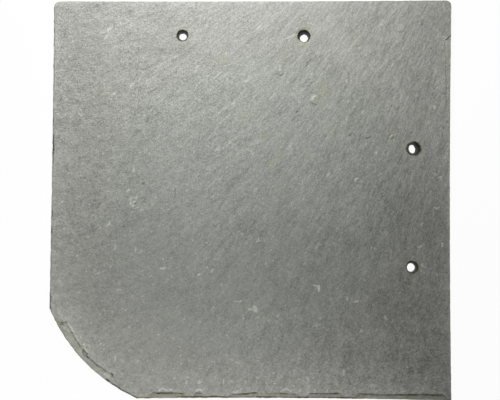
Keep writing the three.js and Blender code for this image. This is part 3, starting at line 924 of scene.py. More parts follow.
@dataclass(frozen=True)
class RivenRelief:
    """How the stone split and how its edges broke. Each size is a named input of the node tree.

    The relief goes down into the weather face and up into the back, so the slate keeps its thickness.
    """

    thickness: float = 5
    swell_depth: float = 0.5
    swell_length: float = 46
    wave_depth: float = 0.12
    wave_length: float = 17
    wave_width: float = 7
    ripple_depth: float = 0.05
    ripple_length: float = 8
    ripple_width: float = 3.2
    step_depth: float = 0.06
    step_length: float = 34
    step_width: float = 12
    back_depth: float = 0.3
    edge_break: float = 0.55
    edge_crumble: float = 0.3

    def tree(self, grain: Grain, finish: bpy.types.Material) -> bpy.types.NodeTree:
        """Build the node tree that carves a mesh in metres.

        Args:
            grain: the way that the stone's grain runs.
            finish: what the carved mesh is finished in.

        Returns:
            The tree, with one input for each size.
        """
        tree = bpy.data.node_groups.new("riven_relief", "GeometryNodeTree")
        tree.interface.new_socket("Slate", in_out="INPUT", socket_type="NodeSocketGeometry")
        for size in fields(self):
            tree.interface.new_socket(size.name, in_out="INPUT", socket_type="NodeSocketFloat")
        tree.interface.new_socket("Slate", in_out="OUTPUT", socket_type="NodeSocketGeometry")
        wiring = Wiring(tree)
        given = dict(wiring.add("NodeGroupInput").outputs.items())
        place = wiring.scale(wiring.add("GeometryNodeInputPosition").outputs[0], 1 / MM)
        down = self.face_drop(wiring, given, place, grain)
        up = self.back_rise(wiring, given, place)
        lift = wiring.combine(z=wiring.math("SUBTRACT", up, down))
        shift = wiring.vector("ADD", lift, self.edge_shift(wiring, given, place))
        move = {"Geometry": given["Slate"], "Offset": wiring.scale(shift, MM)}
        carved = wiring.add("GeometryNodeSetPosition", move).outputs[0]
        real = wiring.add("GeometryNodeRealizeInstances", {"Geometry": carved}).outputs[0]
        finished = wiring.add("GeometryNodeSetMaterial", {"Geometry": real, "Material": finish}).outputs[0]
        wiring.add("NodeGroupOutput", {"Slate": finished})
        return tree

    def face_drop(self, wiring: Wiring, given: Sockets, place: Socket, grain: Grain) -> Socket:
        """Wire how far the weather face lies below its highest level, fading out down the edges.

        Args:
            wiring: the tree to wire it in.
            given: the tree's named inputs.
            place: places in millimetres.
            grain: the way that the stone's grain runs.

        Returns:
            The drop in millimetres.
        """
        along = grain.lay_out(wiring, place)
        reliefs = [
            (place, SWELL, "swell", "length"),
            (along, WAVE, "wave", "width"),
            (along, RIPPLE, "ripple", "width"),
        ]
        parts = []
        for read, pattern, name, across in reliefs:
            length = given[name + "_length"]
            noise = wiring.pattern(read, pattern, wiring.combine(length, given[f"{name}_{across}"], length))
            parts.append(wiring.product(wiring.math("ADD", noise, NOISE_LIFT), given[name + "_depth"]))
        step_size = wiring.combine(given["step_length"], given["step_width"], given["step_length"])
        steps = wiring.total(*(wiring.pattern(along, step, step_size) for step in STEPS))
        relief = wiring.total(*parts, wiring.product(steps, given["step_depth"]))
        height = wiring.math("DIVIDE", wiring.split(place)[2], given["thickness"])
        return wiring.product(wiring.math("MAXIMUM", relief, 0.0), wiring.ramp(height, FACE_FADES))

    def back_rise(self, wiring: Wiring, given: Sockets, place: Socket) -> Socket:
        """Wire how far the back lies above the floor, fading out up the edges.

        Args:
            wiring: the tree to wire it in.
            given: the tree's named inputs.
            place: places in millimetres.

        Returns:
            The rise in millimetres.
        """
        swell_size = wiring.combine(given["swell_length"], given["swell_length"], given["swell_length"])
        wave_size = wiring.combine(given["wave_width"], given["wave_width"], given["wave_length"])
        swell = wiring.pattern(place, BACK_SWELL, swell_size)
        hollow = wiring.total(swell, wiring.pattern(place, BACK_WAVE, wave_size))
        height = wiring.math("DIVIDE", wiring.split(place)[2], given["thickness"])
        rise = wiring.product(wiring.ramp(hollow, BACK_HOLLOWS), given["back_depth"])
        return wiring.product(rise, wiring.ramp(height, BACK_FADES))

    def edge_shift(self, wiring: Wiring, given: Sockets, place: Socket) -> Socket:
        """Wire how far a broken edge is pushed in or out, in layers that follow the stone's own.

        Args:
            wiring: the tree to wire it in.
            given: the tree's named inputs.
            place: places in millimetres.

        Returns:
            The push in millimetres, level and square to the edge.
        """
        push = wiring.total(
            wiring.product(wiring.pattern(place, EDGE_LAYERS), given["edge_break"]),
            wiring.product(wiring.pattern(place, EDGE_CRUMBS), given["edge_crumble"]),
        )
        attribute = wiring.add("GeometryNodeInputNamedAttribute", {"Name": "broken"}, data_type="FLOAT")
        outward = wiring.vector("MULTIPLY", wiring.add("GeometryNodeInputNormal").outputs[0], (1, 1, 0))
        return wiring.scale(outward, wiring.product(push, attribute.outputs[0]))

    def carve(self, piece: bpy.types.Object, tree: bpy.types.NodeTree) -> bpy.types.Mesh:
        """Carve a piece and return its plain mesh.

        Args:
            piece: the piece to carve, which keeps its own mesh.
            tree: the node tree that carves it.

        Returns:
            The carved mesh.
        """
        modifier = piece.modifiers.new("riven_relief", "NODES")
        modifier.node_group = tree
        for item in tree.interface.items_tree:
            if item.in_out == "INPUT" and item.socket_type == "NodeSocketFloat":
                modifier[item.identifier] = float(getattr(self, item.name))
        depsgraph = bpy.context.evaluated_depsgraph_get()
        carved = bpy.data.meshes.new_from_object(
            piece.evaluated_get(depsgraph), preserve_all_data_layers=True, depsgraph=depsgraph
        )
        piece.modifiers.remove(modifier)
        return carved


# ---- The slate ------------------------------------------------------------------------------------


@dataclass
class SlateBody:
    """The slate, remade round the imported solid's own edges and holes."""

    node: bpy.types.Object
    grain: Grain
    relief: RivenRelief
    marks: Sequence[Mark]
    face_spacing: float = 1.15
    rim_spacing: float = 0.7
    fine_spacing: float = 0.38
    back_spacing: float = 3.2
    edge_spacing: float = 1.1
    hole_spacing: float = 0.6
    rim_band: float = 2.5
    mouth_band: float = 1.8
    keep_clear: float = 0.55
    uneven: float = 0.22
    crease_angle: float = 38
    riser_shadow_reach: float = 0.75
    riser_shadow_starts: tuple[float, float] = (1.5, 2.3)
    deepest_ledge: float = 1.3
    margin_reach: float = 8
    rim_depth: float = 0.5
    rim_reach: float = 0.8
    least_drop: float = 0.2
    level_share: float = 0.9
    mouth_stain: float = 0.4
    mouth_stain_reach: float = 1.1
    wall_broken: float = 0.4
    bore_depths: tuple[float, float] = (0.4, 1.0)
    dark_mark_widths: float = 2
    disc_spacings: float = 3
    back_seed: int = 9
    weld: float = 0.001
    mouths: list[tuple[Vector, float]] = field(default_factory=list)

    def broken_sides(self) -> Shell:
        """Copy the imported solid, take its two flat faces off and cut the rest finer.

        Returns:
            The edges, the flaked ledges and the walls of the holes.
        """
        mesh = bmesh.new()
        mesh.from_mesh(self.node.data)
        bmesh.ops.remove_doubles(mesh, verts=mesh.verts, dist=self.weld * MM)
        mesh.verts.index_update()
        points = np.array([v.co for v in mesh.verts]) / MM
        triangles = np.array([[v.index for v in face.verts] for face in mesh.faces])
        mesh.free()
        heights = points[triangles][:, :, 2]
        flat = (heights > self.relief.thickness - self.weld).all(axis=1) | (heights < self.weld).all(axis=1)
        shell = Shell(points, triangles[~flat])
        for loop in loops_of(shell.open_edges(self.relief.thickness))[1:]:
            middle = points[loop].mean(axis=0)
            radius = np.linalg.norm(points[loop] - middle, axis=1).mean()
            self.mouths.append((Vector(middle), float(radius)))
        shell.cut_finer(self.limits_at)
        return shell

    def limits_at(self, places: np.ndarray) -> np.ndarray:
        """Say how long an edge of the mesh may be, which is shortest at the holes and under the near-black
        marks.

        Args:
            places: N by 3 places.

        Returns:
            The longest length allowed at each.
        """
        limits = np.full(len(places), self.edge_spacing)
        for mouth, radius in self.mouths:
            away = np.hypot(places[:, 0] - mouth.x, places[:, 1] - mouth.y)
            limits[away < radius + self.rim_band] = self.hole_spacing
        for mark in self.marks:
            if mark.kind is MarkKind.SOOT_AND_SHADE:
                limits[mark.offsets(places[:, :2])[0] < self.dark_mark_widths * mark.width] = self.hole_spacing
        return limits

    def fine_discs(self) -> list[tuple[float, float, float]]:
        """List the discs of the weather face that are meshed finest.

        Returns:
            Each one's centre and radius.
        """
        discs = [(mouth.x, mouth.y, radius + self.mouth_band) for mouth, radius in self.mouths]
        for mark in self.marks:
            if mark.relief or mark.kind is MarkKind.SOOT_AND_SHADE:
                discs.extend(mark.beads(self.disc_spacings * self.fine_spacing))
        return discs

    def face_points(self, rim: np.ndarray) -> np.ndarray:
        """Lay points over the weather face: closest at the marks and holes, and close along the rim.

        Args:
            rim: the places round the face and its holes.

        Returns:
            N by 2 places, some of them outside the face.
        """
        discs = np.array(self.fine_discs())
        low, high = rim.min(axis=0), rim.max(axis=0)
        layers = []
        for seed, spacing in enumerate((self.face_spacing, self.rim_spacing, self.fine_spacing)):
            points = strewn_lattice(low, high, spacing, self.uneven, seed)
            fine = np.zeros(len(points), bool)
            for x, y, radius in discs:
                fine |= (points[:, 0] - x) ** 2 + (points[:, 1] - y) ** 2 < radius**2
            if spacing == self.fine_spacing:
                layers.append(points[fine])
                continue
            points = points[~fine]
            close = nearest(points, rim) < self.rim_band
            layers.append(points[close if spacing == self.rim_spacing else ~close])
        return np.concatenate(layers)

    def close_face(self, shell: Shell, height: float, points: np.ndarray) -> Shell:
        """Fill one flat face of a shell.

        Args:
            shell: the shell, open at that height.
            height: where the face lies.
            points: the places to use inside it.

        Returns:
            The shell with that face.
        """
        edges = shell.open_edges(height)
        rim = np.unique(edges)
        starts, ends = shell.points[edges[:, 0], :2], shell.points[edges[:, 1], :2]
        points = points[inside(points, starts, ends)]
        points = points[nearest(points, shell.points[rim, :2]) > self.keep_clear * self.fine_spacing]
        number = {int(old): new for new, old in enumerate(rim)}
        fixed = [(number[a], number[b]) for a, b in edges.tolist()]
        flat = np.concatenate([shell.points[rim, :2], points])
        _, _, faces, origins, _, _ = geometry.delaunay_2d_cdt(
            [Vector(place) for place in flat.tolist()], fixed, [], 1, self.weld * MM, True
        )
        first = len(shell.points)
        numbers = np.concatenate([rim, np.arange(first, first + len(points))])
        source = np.array([origin[0] for origin in origins])
        corners = numbers[source[np.array(faces)]]
        if height == 0:
            corners = corners[:, ::-1]
        added = np.column_stack([points, np.full(len(points), height)])
        triangles = np.concatenate([shell.triangles, shell.beyond_rim(corners)])
        return Shell(np.concatenate([shell.points, added]), triangles)

    def whole_shell(self) -> tuple[Shell, dict[str, np.ndarray]]:
        """Mesh the whole slate, still without its relief.

        Returns:
            The shell, and a value for every point of each named attribute.
        """
        shell = self.broken_sides()
        sides = len(shell.points)
        top = self.relief.thickness
        top_loops = loops_of(shell.open_edges(top))
        rim = shell.points[np.concatenate(top_loops), :2]
        outer_rim = shell.points[top_loops[0], :2]
        shell = self.close_face(shell, top, self.face_points(rim))
        low, high = shell.points[:, :2].min(axis=0), shell.points[:, :2].max(axis=0)
        back = strewn_lattice(low, high, self.back_spacing, self.uneven, self.back_seed)
        shell = self.close_face(shell, 0, back)
        return shell, self.traits(shell, sides, outer_rim)

    def traits(self, shell: Shell, sides: int, outer_rim: np.ndarray) -> dict[str, np.ndarray]:
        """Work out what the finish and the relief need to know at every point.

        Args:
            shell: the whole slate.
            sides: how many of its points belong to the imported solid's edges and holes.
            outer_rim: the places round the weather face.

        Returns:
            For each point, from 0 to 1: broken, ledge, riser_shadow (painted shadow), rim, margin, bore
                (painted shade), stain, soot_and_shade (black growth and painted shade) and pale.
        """
        x, y, z = shell.points.T
        top = self.relief.thickness
        count = len(shell.points)
        broken = np.zeros(count)
        broken[:sides] = 1
        a, b, c = (shell.points[shell.triangles[:, i]] for i in range(3))
        normals = np.cross(b - a, c - a)
        level = normals[:, 2] > self.level_share * np.linalg.norm(normals, axis=1)
        crests = z[shell.triangles].max(axis=1)
        ledge = np.zeros(count)
        ledge[np.unique(shell.triangles[level & (crests < top - self.least_drop)])] = 1
        high = z > top - self.rim_depth
        inward = nearest(shell.points[:, :2], outer_rim)
        rim = np.where(high, np.exp(-inward / self.rim_reach), 0)
        margin = np.exp(-inward / self.margin_reach)
        # riser_shadow is painted shadow: the ledges darken just below each riser, where its cast shadow
        # falls.
        riser_shadow = np.zeros(count)
        foot = self.riser_feet(shell, level)
        sunk = np.flatnonzero((ledge > 0) & (z > top - self.deepest_ledge))
        outline = shell.points[(broken > 0) & (z < self.weld), :2]
        start, full = self.riser_shadow_starts
        inset = np.clip((nearest(shell.points[sunk, :2], outline) - start) / (full - start), 0, 1)
        riser_shadow[sunk] = inset * np.exp(-((nearest(shell.points[sunk, :2], foot) / self.riser_shadow_reach) ** 2))
        # bore is painted shade: the holes' walls darken with depth, where little light reaches them.
        bore = np.zeros(count)
        bore_start, bore_full = self.bore_depths
        tints = {name: np.zeros(count) for name in ("stain", "soot_and_shade", "pale", "worn")}
        for mouth, radius in self.mouths:
            away = np.hypot(x - mouth.x, y - mouth.y)
            ring = self.mouth_stain * np.exp(-(((away - radius) / self.mouth_stain_reach) ** 2))
            tints["stain"] = np.maximum(tints["stain"], ring)
            wall = (away < radius + self.mouth_band) & (broken > 0)
            broken[wall] = self.wall_broken
            bore[wall] = np.clip((top - bore_start - z[wall]) / (bore_full - bore_start), 0, 1)
        near = np.flatnonzero(z > self.weld)
        for mark in self.marks:
            distance, side = mark.offsets(shell.points[near, :2])
            shell.points[near, 2] += np.where(high[near], mark.lift(distance, side), 0)
            tint = tints[mark.trait]
            tint[near] = np.maximum(tint[near], mark.tint(distance))
        # The shadow gaps weaken the painted shadow.
        riser_shadow *= 1 - tints.pop("worn")
        edges = {"broken": broken, "ledge": ledge, "riser_shadow": riser_shadow}
        return {**edges, "rim": rim, "margin": margin, "bore": bore, **tints}

    def riser_feet(self, shell: Shell, level: np.ndarray) -> np.ndarray:
        """Find where a broken riser stands on a ledge.

        Args:
            shell: the whole slate.
            level: which of its triangles face up.

        Returns:
            N by 2 places along the risers' feet.
        """
        corners = shell.triangles
        pairs = np.sort(corners[:, TRIANGLE_SIDES].reshape(-1, 3, 2), axis=2)
        codes = pairs[:, :, 0] * len(shell.points) + pairs[:, :, 1]
        crests = shell.points[corners][:, :, 2].max(axis=1)
        heights = shell.points[pairs][:, :, :, 2].max(axis=2)
        shallow = heights > self.relief.thickness - self.deepest_ledge
        rising = ~level[:, None] & (crests[:, None] > heights + self.least_drop) & shallow
        feet = np.intersect1d(codes[level], codes[rising])
        ends = np.stack([feet // len(shell.points), feet % len(shell.points)], axis=1)
        places = shell.points[ends][:, :, :2]
        return np.concatenate([places[:, 0], places[:, 1], places.mean(axis=1)])

    def build(self, finish: bpy.types.Material) -> bpy.types.Object:
        """Mesh, carve and finish the slate.

        Args:
            finish: the stone's material.

        Returns:
            The finished piece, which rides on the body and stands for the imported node.
        """
        shell, traits = self.whole_shell()
        blank = bpy.data.meshes.new("slate_blank")
        blank.from_pydata((shell.points * MM).tolist(), [], shell.triangles.tolist())
        for name, values in traits.items():
            blank.attributes.new(name, "FLOAT", "POINT").data.foreach_set("value", values)
        piece = bpy.data.objects.new("cleft_slate", blank)
        bpy.context.scene.collection.objects.link(piece)
        piece.data = self.relief.carve(piece, self.relief.tree(self.grain, finish))
        bpy.data.meshes.remove(blank)
        piece.data.name = piece.name
        piece.data.shade_smooth()
        piece.data.set_sharp_from_angle(angle=math.radians(self.crease_angle))
        LOG.info("%s: %d triangles, %d nail holes", piece.name, len(piece.data.polygons), len(self.mouths))
        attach(piece, BODY)
        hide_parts(NODE)
        return piece


# ---- The stone's finish ---------------------------------------------------------------------------


@dataclass(frozen=True)
class StoneColours:
    """The stone's colours, those of what stains it and grows on it, and a near-black that also paints shade.
    """

    grey: Colour = (0.238, 0.241, 0.219)
    green: Colour = (0.229, 0.241, 0.217)
    olive: Colour = (0.238, 0.24, 0.176)
    edge: Colour = (0.2, 0.2, 0.168)
    fresh: Colour = (0.56, 0.57, 0.51)
    lichen: Colour = (0.232, 0.236, 0.13)
    moss: Colour = (0.045, 0.047, 0.008)
    soot_and_shade: Colour = (0.014, 0.014, 0.01)


LAYER_BANDS = Pattern((4, 4, 0.35), 71.7, detail=3)
BROAD_PATCHES = Pattern((7, 7, 7), 77.7, detail=4, rough=0.6)


@dataclass(frozen=True)
class CleftFace:
    """The bare stone: greener in the middle, olive in spots, cloudy, and faintly streaked along its grain."""

    colours: StoneColours
    green_fades: Ramp = Ramp(38, 95)
    spots: Pattern = Pattern((4, 4, 4), 8.8, ramp=Ramp(0.17, 0.3, 0, 0.7))
    grit: Pattern = Pattern((1.2, 1.2, 1.2), 27.5, detail=1, ramp=Ramp(0.18, 0.27, 0, 0.2))
    glints: Pattern = Pattern((1.5, 0.9, 1.5), 33.3, detail=1, ramp=Ramp(0.18, 0.28, 0, 0.5))
    clouds: Pattern = Pattern((19, 19, 19), 14.2, detail=3, rough=0.6, strength=0.35)
    streaks: Pattern = Pattern((11, 3.8, 11), 6.6, detail=4, rough=0.62, strength=0.7)
    mottle: Pattern = Pattern((4, 1.7, 4), 9.1, strength=0.5)
    speckle: Pattern = Pattern((1.6, 0.8, 1.6), 19.3, detail=1, strength=0.65)
    dust: Pattern = Pattern((0.55, 0.55, 0.55), 43.7, detail=0, strength=0.75)
    calm_spot: Spot = (-48, -58, 0)
    calm: Ramp = Ramp(15, 60, 0.65, 1)
    calm_dust: Ramp = Ramp(15, 60, 0.8, 1)
    lively_across: Ramp = Ramp(10, 80, 0.95, 1.4)
    lively_corner: Spread = Spread(across=Ramp(-90, -40, 0.22, 0), up=Ramp(0, 50, 0.3, 1))
    dusty_corner: Spread = Spread(across=Ramp(-60, 60, 0.42, -0.2), up=Ramp(-30, 50))
    dusty_foot: Spread = Spread(across=Ramp(10, 70), up=Ramp(-90, -30, 0.25, 0))

    def colour(self, wiring: Wiring, place: Socket, along: Socket) -> Socket:
        """Wire the face's colour.

        Args:
            wiring: the material's tree.
            place: places in millimetres.
            along: the same places, laid along the grain.

        Returns:
            The colour.
        """
        from_middle = wiring.distance(place, (0, 0, 0))
        colour = wiring.mix(wiring.ramp(from_middle, self.green_fades), self.colours.green, self.colours.grey)
        colour = wiring.mix(wiring.pattern(place, self.spots), colour, self.colours.olive)
        colour = wiring.tone(colour, self.unevenness(wiring, place, along))
        colour = wiring.mix(wiring.pattern(place, self.grit), colour, self.colours.soot_and_shade)
        return wiring.mix(wiring.pattern(along, self.glints), colour, self.colours.fresh)

    def unevenness(self, wiring: Wiring, place: Socket, along: Socket) -> Socket:
        """Wire how much lighter or darker the stone is from place to place.

        Args:
            wiring: the material's tree.
            place: places in millimetres.
            along: the same places, laid along the grain.

        Returns:
            A share of the stone's tone, about 0.
        """
        parts = [(place, self.clouds), (along, self.streaks), (along, self.mottle), (along, self.speckle)]
        scaled = [wiring.math("MULTIPLY", wiring.pattern(read, part), part.strength) for read, part in parts]
        uneven = wiring.math("MULTIPLY", wiring.total(*scaled), self.vigour(wiring, place))
        dust = wiring.math("MULTIPLY", wiring.pattern(place, self.dust), self.dustiness(wiring, place))
        return wiring.math("ADD", uneven, dust)

    def vigour(self, wiring: Wiring, place: Socket) -> Socket:
        """Wire how strongly the unevenness shows: less round the calm spot, more at the sides.

        Args:
            wiring: the material's tree.
            place: places in millimetres.

        Returns:
            The strength, about 1.
        """
        lively = wiring.ramp(wiring.split(place)[0], self.lively_across)
        lively = wiring.math("ADD", wiring.spread(place, self.lively_corner), lively)
        return wiring.math("MULTIPLY", wiring.ramp(wiring.distance(place, self.calm_spot), self.calm), lively)

    def dustiness(self, wiring: Wiring, place: Socket) -> Socket:
        """Wire how strongly the finest grain shows: most at the top left, least at the top right.

        Args:
            wiring: the material's tree.
            place: places in millimetres.

        Returns:
            The strength.
        """
        corner = wiring.spread(place, self.dusty_corner)
        dusty = wiring.total(corner, wiring.spread(place, self.dusty_foot), 1.0)
        calm = wiring.ramp(wiring.distance(place, self.calm_spot), self.calm_dust)
        return wiring.math("MULTIPLY", dusty, wiring.math("MULTIPLY", calm, self.dust.strength))


@dataclass(frozen=True)
class BrokenEdge:
    """The broken edges, banded like the stone's layers, and the ledges in them, which have turned olive."""

    colours: StoneColours
    bands_show: Ramp = Ramp(0.02, 0.2, 0, 0.8)
    patches_show: Ramp = Ramp(-0.1, 0.2, 0, 0.6)
    steep_shows: Ramp = Ramp(0.2, 0.8, 0, 0.9)
    below_face: Ramp = Ramp(4.3, 4.5, 1, 0)
    near_edge: Ramp = Ramp(0.66, 0.8, 0.3, 1)

    def colour(self, wiring: Wiring, place: Socket, traits: Sockets, colour: Socket) -> Socket:
        """Wire the edges over the face's colour.

        Args:
            wiring: the material's tree.
            place: places in millimetres.
            traits: the mesh's attributes.
            colour: the face's colour.

        Returns:
            The colour.
        """
        bands = wiring.pattern(place, LAYER_BANDS)
        edge = wiring.mix(wiring.ramp(bands, self.bands_show), self.colours.edge, self.colours.olive)
        steep = wiring.math("SUBTRACT", traits["broken"], traits["ledge"])
        colour = wiring.mix(wiring.ramp(steep, self.steep_shows), colour, edge)
        turned = wiring.product(
            traits["ledge"],
            wiring.ramp(wiring.split(place)[2], self.below_face),
            wiring.ramp(wiring.pattern(place, BROAD_PATCHES), self.patches_show),
            wiring.ramp(traits["margin"], self.near_edge),
        )
        return wiring.mix(turned, colour, self.colours.olive)


@dataclass(frozen=True)
class PaintedLight:
    """Painted light and shade, as shares of the stone's tone: a paler margin, lighter at the foot and the
    left side, darker across the waist and in two painted shadows.
    """

    rim: float = 0.22
    below_top: Ramp = Ramp(50, 90, 1, 0.3)
    at_left: Ramp = Ramp(-92, -80, 1, 0)
    low: Ramp = Ramp(-60, -20, 1, 0)
    low_middle: float = -25
    from_low_middle: Ramp = Ramp(20, 50, 0, 0.65)
    foot: Spread = Spread(across=Ramp(-40, 10, 0.2, 1), up=Ramp(-92, -72, 0.1, 0))
    left_band: Ramp = Ramp(-99, -74, 0.07, 0)
    waist: float = -34
    from_waist: Ramp = Ramp(8, 42, -0.09, 0)
    shadows: Sequence[tuple[Spot, Ramp]] = (
        ((-36, 88, 0), Ramp(0, 36, -0.1, 0)),
        ((90, 5, 0), Ramp(0, 55, -0.1, 0)),
    )

    def share(self, wiring: Wiring, place: Socket, margin: Socket) -> Socket:
        """Wire the painted light and shade.

        Args:
            wiring: the material's tree.
            place: places in millimetres.
            margin: the nearness to the edge, from 0 to 1.

        Returns:
            The share, which is below 0 across the lower middle.
        """
        x, y, _ = wiring.split(place)
        edges = wiring.math("MAXIMUM", wiring.ramp(y, self.below_top), wiring.ramp(x, self.at_left))
        from_middle = wiring.math("ABSOLUTE", wiring.math("SUBTRACT", x, self.low_middle))
        corners = wiring.product(wiring.ramp(y, self.low), wiring.ramp(from_middle, self.from_low_middle))
        from_waist = wiring.math("ABSOLUTE", wiring.math("SUBTRACT", y, self.waist))
        return wiring.total(
            wiring.product(margin, wiring.total(edges, corners), self.rim),
            wiring.spread(place, self.foot),
            wiring.ramp(from_waist, self.from_waist),
            wiring.ramp(x, self.left_band),
            *(wiring.ramp(wiring.distance(place, spot), fades) for spot, fades in self.shadows),
        )


@dataclass(frozen=True)
class Growth:
    """What lies on the stone: stains, black growth and pale marks, with painted shadow at the risers' feet,
    painted shade in the bores and pits, and a pale crest that is partly painted highlight.
    """

    colours: StoneColours
    rags: Pattern = Pattern((1.6, 1.6, 1.6), 81.9, detail=3, ramp=Ramp(-0.12, 0.16))
    crumbs: Pattern = Pattern((0.7, 0.7, 0.7), 87.1, detail=1, ramp=Ramp(-0.2, 0.05, 0.5, 1))
    stain_rags: Ramp = Ramp(0, 1, 0.4, 1)
    riser_shadow_patches: Ramp = Ramp(-0.2, 0.1, 0.45, 1)
    riser_shadow_rags: Ramp = Ramp(0, 0.7, 0.55, 1)
    riser_shadow_shows: Ramp = Ramp(0.14, 0.7, 0, 0.94)
    dark_rags: Ramp = Ramp(0, 0.7, 0.6, 1)
    dark_rises: Ramp = Ramp(1.4, 4.2, 0.3, 1)
    dark_follows_bands: float = 3
    dark_follows_patches: float = 4
    dark_shows: Ramp = Ramp(0.08, 0.65, 0, 0.94)
    moss_shows: Ramp = Ramp(0.2, 0.7)
    bore_shows: Ramp = Ramp(0.15, 0.75, 0, 0.96)
    pale_right_side: Spread = Spread(across=Ramp(90, 96, 0, 0.34), up=Ramp(5, 30, 1, 0))
    crest_rags: float = 0.22

    def colour(self, wiring: Wiring, place: Socket, traits: Sockets, colour: Socket) -> Socket:
        """Wire the growth over the stone's colour.

        Args:
            wiring: the material's tree.
            place: places in millimetres.
            traits: the mesh's attributes.
            colour: the stone's colour.

        Returns:
            The colour.
        """
        rags = wiring.pattern(place, self.rags)
        patches = wiring.pattern(place, BROAD_PATCHES)
        stain = wiring.product(traits["stain"], wiring.ramp(rags, self.stain_rags))
        colour = wiring.mix(stain, colour, self.colours.lichen)

        # Painted shadow at the risers' feet, in the near-black colour.
        riser_shadow = wiring.product(
            traits["riser_shadow"],
            wiring.ramp(patches, self.riser_shadow_patches),
            wiring.ramp(rags, self.riser_shadow_rags),
        )
        colour = wiring.mix(wiring.ramp(riser_shadow, self.riser_shadow_shows), colour, self.colours.soot_and_shade)

        # Black growth, and the painted shade that the near-black marks and the pits carry.
        height = wiring.split(place)[2]
        bands = wiring.pattern(place, LAYER_BANDS)
        height = wiring.math("MULTIPLY_ADD", bands, self.dark_follows_bands, height)
        height = wiring.math("MULTIPLY_ADD", patches, self.dark_follows_patches, height)
        soot_and_shade = wiring.product(
            traits["soot_and_shade"], wiring.ramp(rags, self.dark_rags), wiring.ramp(height, self.dark_rises)
        )
        mossy = wiring.ramp(traits["stain"], self.moss_shows)
        growth = wiring.mix(mossy, self.colours.soot_and_shade, self.colours.moss)
        colour = wiring.mix(wiring.ramp(soot_and_shade, self.dark_shows), colour, growth)
        # Painted shade down the holes' bores.
        colour = wiring.mix(wiring.ramp(traits["bore"], self.bore_shows), colour, self.colours.soot_and_shade)

        # A pale crest round the face's rim, partly painted highlight where the crest catches the light and
        # partly pale wear, paler on the lower right side.
        crest_paleness = wiring.math("MULTIPLY_ADD", rags, self.crest_rags, wiring.spread(place, self.pale_right_side))
        crest_highlight_and_wear = wiring.product(traits["rim"], crest_paleness)
        pale = wiring.product(traits["pale"], wiring.pattern(place, self.crumbs))
        return wiring.mix(wiring.math("MAXIMUM", crest_highlight_and_wear, pale), colour, self.colours.fresh)


@dataclass(frozen=True)
class SlateStone:
    """The slate's finish: its face, its broken edges, the painted light and shade on them, and what grew on
    them.
    """

    grain: Grain
    colours: StoneColours = StoneColours()
    painted_light: PaintedLight = PaintedLight()
    ripple: Pattern = Pattern((6, 2.1, 6), 12.6, detail=3, rough=0.6, strength=0.26)
    calm_ripple: Spread = Spread(across=Ramp(-20, 50, 0, -0.1), up=Ramp(10, 60))
    grains: Pattern = Pattern((1.5, 0.9, 1.5), 17.8, detail=1, rough=0.6, strength=0.1)
    leaves: Pattern = Pattern((2.5, 2.5, 0.22), 37.2, strength=0.25)
    sheen: Pattern = Pattern((12, 12, 12), 19.4, detail=3, strength=0.16)
    roughness: float = 0.5
    reflection: float = 0.25

    def build(self) -> bpy.types.Material:
        """Wire the material.

        Returns:
            The material.
        """
        material = bpy.data.materials.new(SLOT)
        material.use_nodes = True
        wiring = Wiring(material.node_tree)
        place = wiring.scale(wiring.add("ShaderNodeTexCoord").outputs["Object"], 1 / MM)
        along = self.grain.lay_out(wiring, place)
        traits = {
            name: wiring.add("ShaderNodeAttribute", attribute_name=name).outputs["Fac"]
            for name in ("broken", "ledge", "riser_shadow", "rim", "margin", "bore", "stain", "soot_and_shade", "pale")
        }
        inputs = {
            "Base Color": self.colour(wiring, place, along, traits),
            "Roughness": self.gloss(wiring, place),
            "Specular IOR Level": self.reflection,
            "Normal": self.tooth(wiring, place, along, traits),
        }
        shader = wiring.add("ShaderNodeBsdfPrincipled", inputs)
        wiring.add("ShaderNodeOutputMaterial", {"Surface": shader.outputs[0]})
        return material

    def colour(self, wiring: Wiring, place: Socket, along: Socket, traits: Sockets) -> Socket:
        """Wire the stone's colour, one layer over the other.

        Args:
            wiring: the material's tree.
            place: places in millimetres.
            along: the same places, laid along the grain.
            traits: the mesh's attributes.

        Returns:
            The colour.
        """
        colour = CleftFace(self.colours).colour(wiring, place, along)
        colour = BrokenEdge(self.colours).colour(wiring, place, traits, colour)
        # Painted light and shade over the face and edges.
        colour = wiring.tone(colour, self.painted_light.share(wiring, place, traits["margin"]))
        return Growth(self.colours).colour(wiring, place, traits, colour)

    def gloss(self, wiring: Wiring, place: Socket) -> Socket:
        """Wire the roughness, as a value that varies a little from patch to patch."""
        patches = wiring.pattern(place, self.sheen)
        return wiring.math("MULTIPLY_ADD", patches, self.sheen.strength, self.roughness)

    def tooth(self, wiring: Wiring, place: Socket, along: Socket, traits: Sockets) -> Socket:
        """Wire the relief that is too fine for the mesh: ripples, grains, and the edges' thin leaves.

        Args:
            wiring: the material's tree.
            place: places in millimetres.
            along: the same places, laid along the grain.
            traits: the mesh's attributes.

        Returns:
            The shading normal.
        """
        depth = wiring.math("ADD", wiring.spread(place, self.calm_ripple), self.ripple.strength)
        height = wiring.total(
            wiring.product(wiring.pattern(along, self.ripple), depth),
            wiring.product(wiring.pattern(along, self.grains), self.grains.strength),
            wiring.product(wiring.pattern(place, self.leaves), traits["broken"], self.leaves.strength),
        )
        return wiring.add("ShaderNodeBump", {"Height": height, "Strength": 1, "Distance": MM}).outputs[0]


# ---- The studio -----------------------------------------------------------------------------------


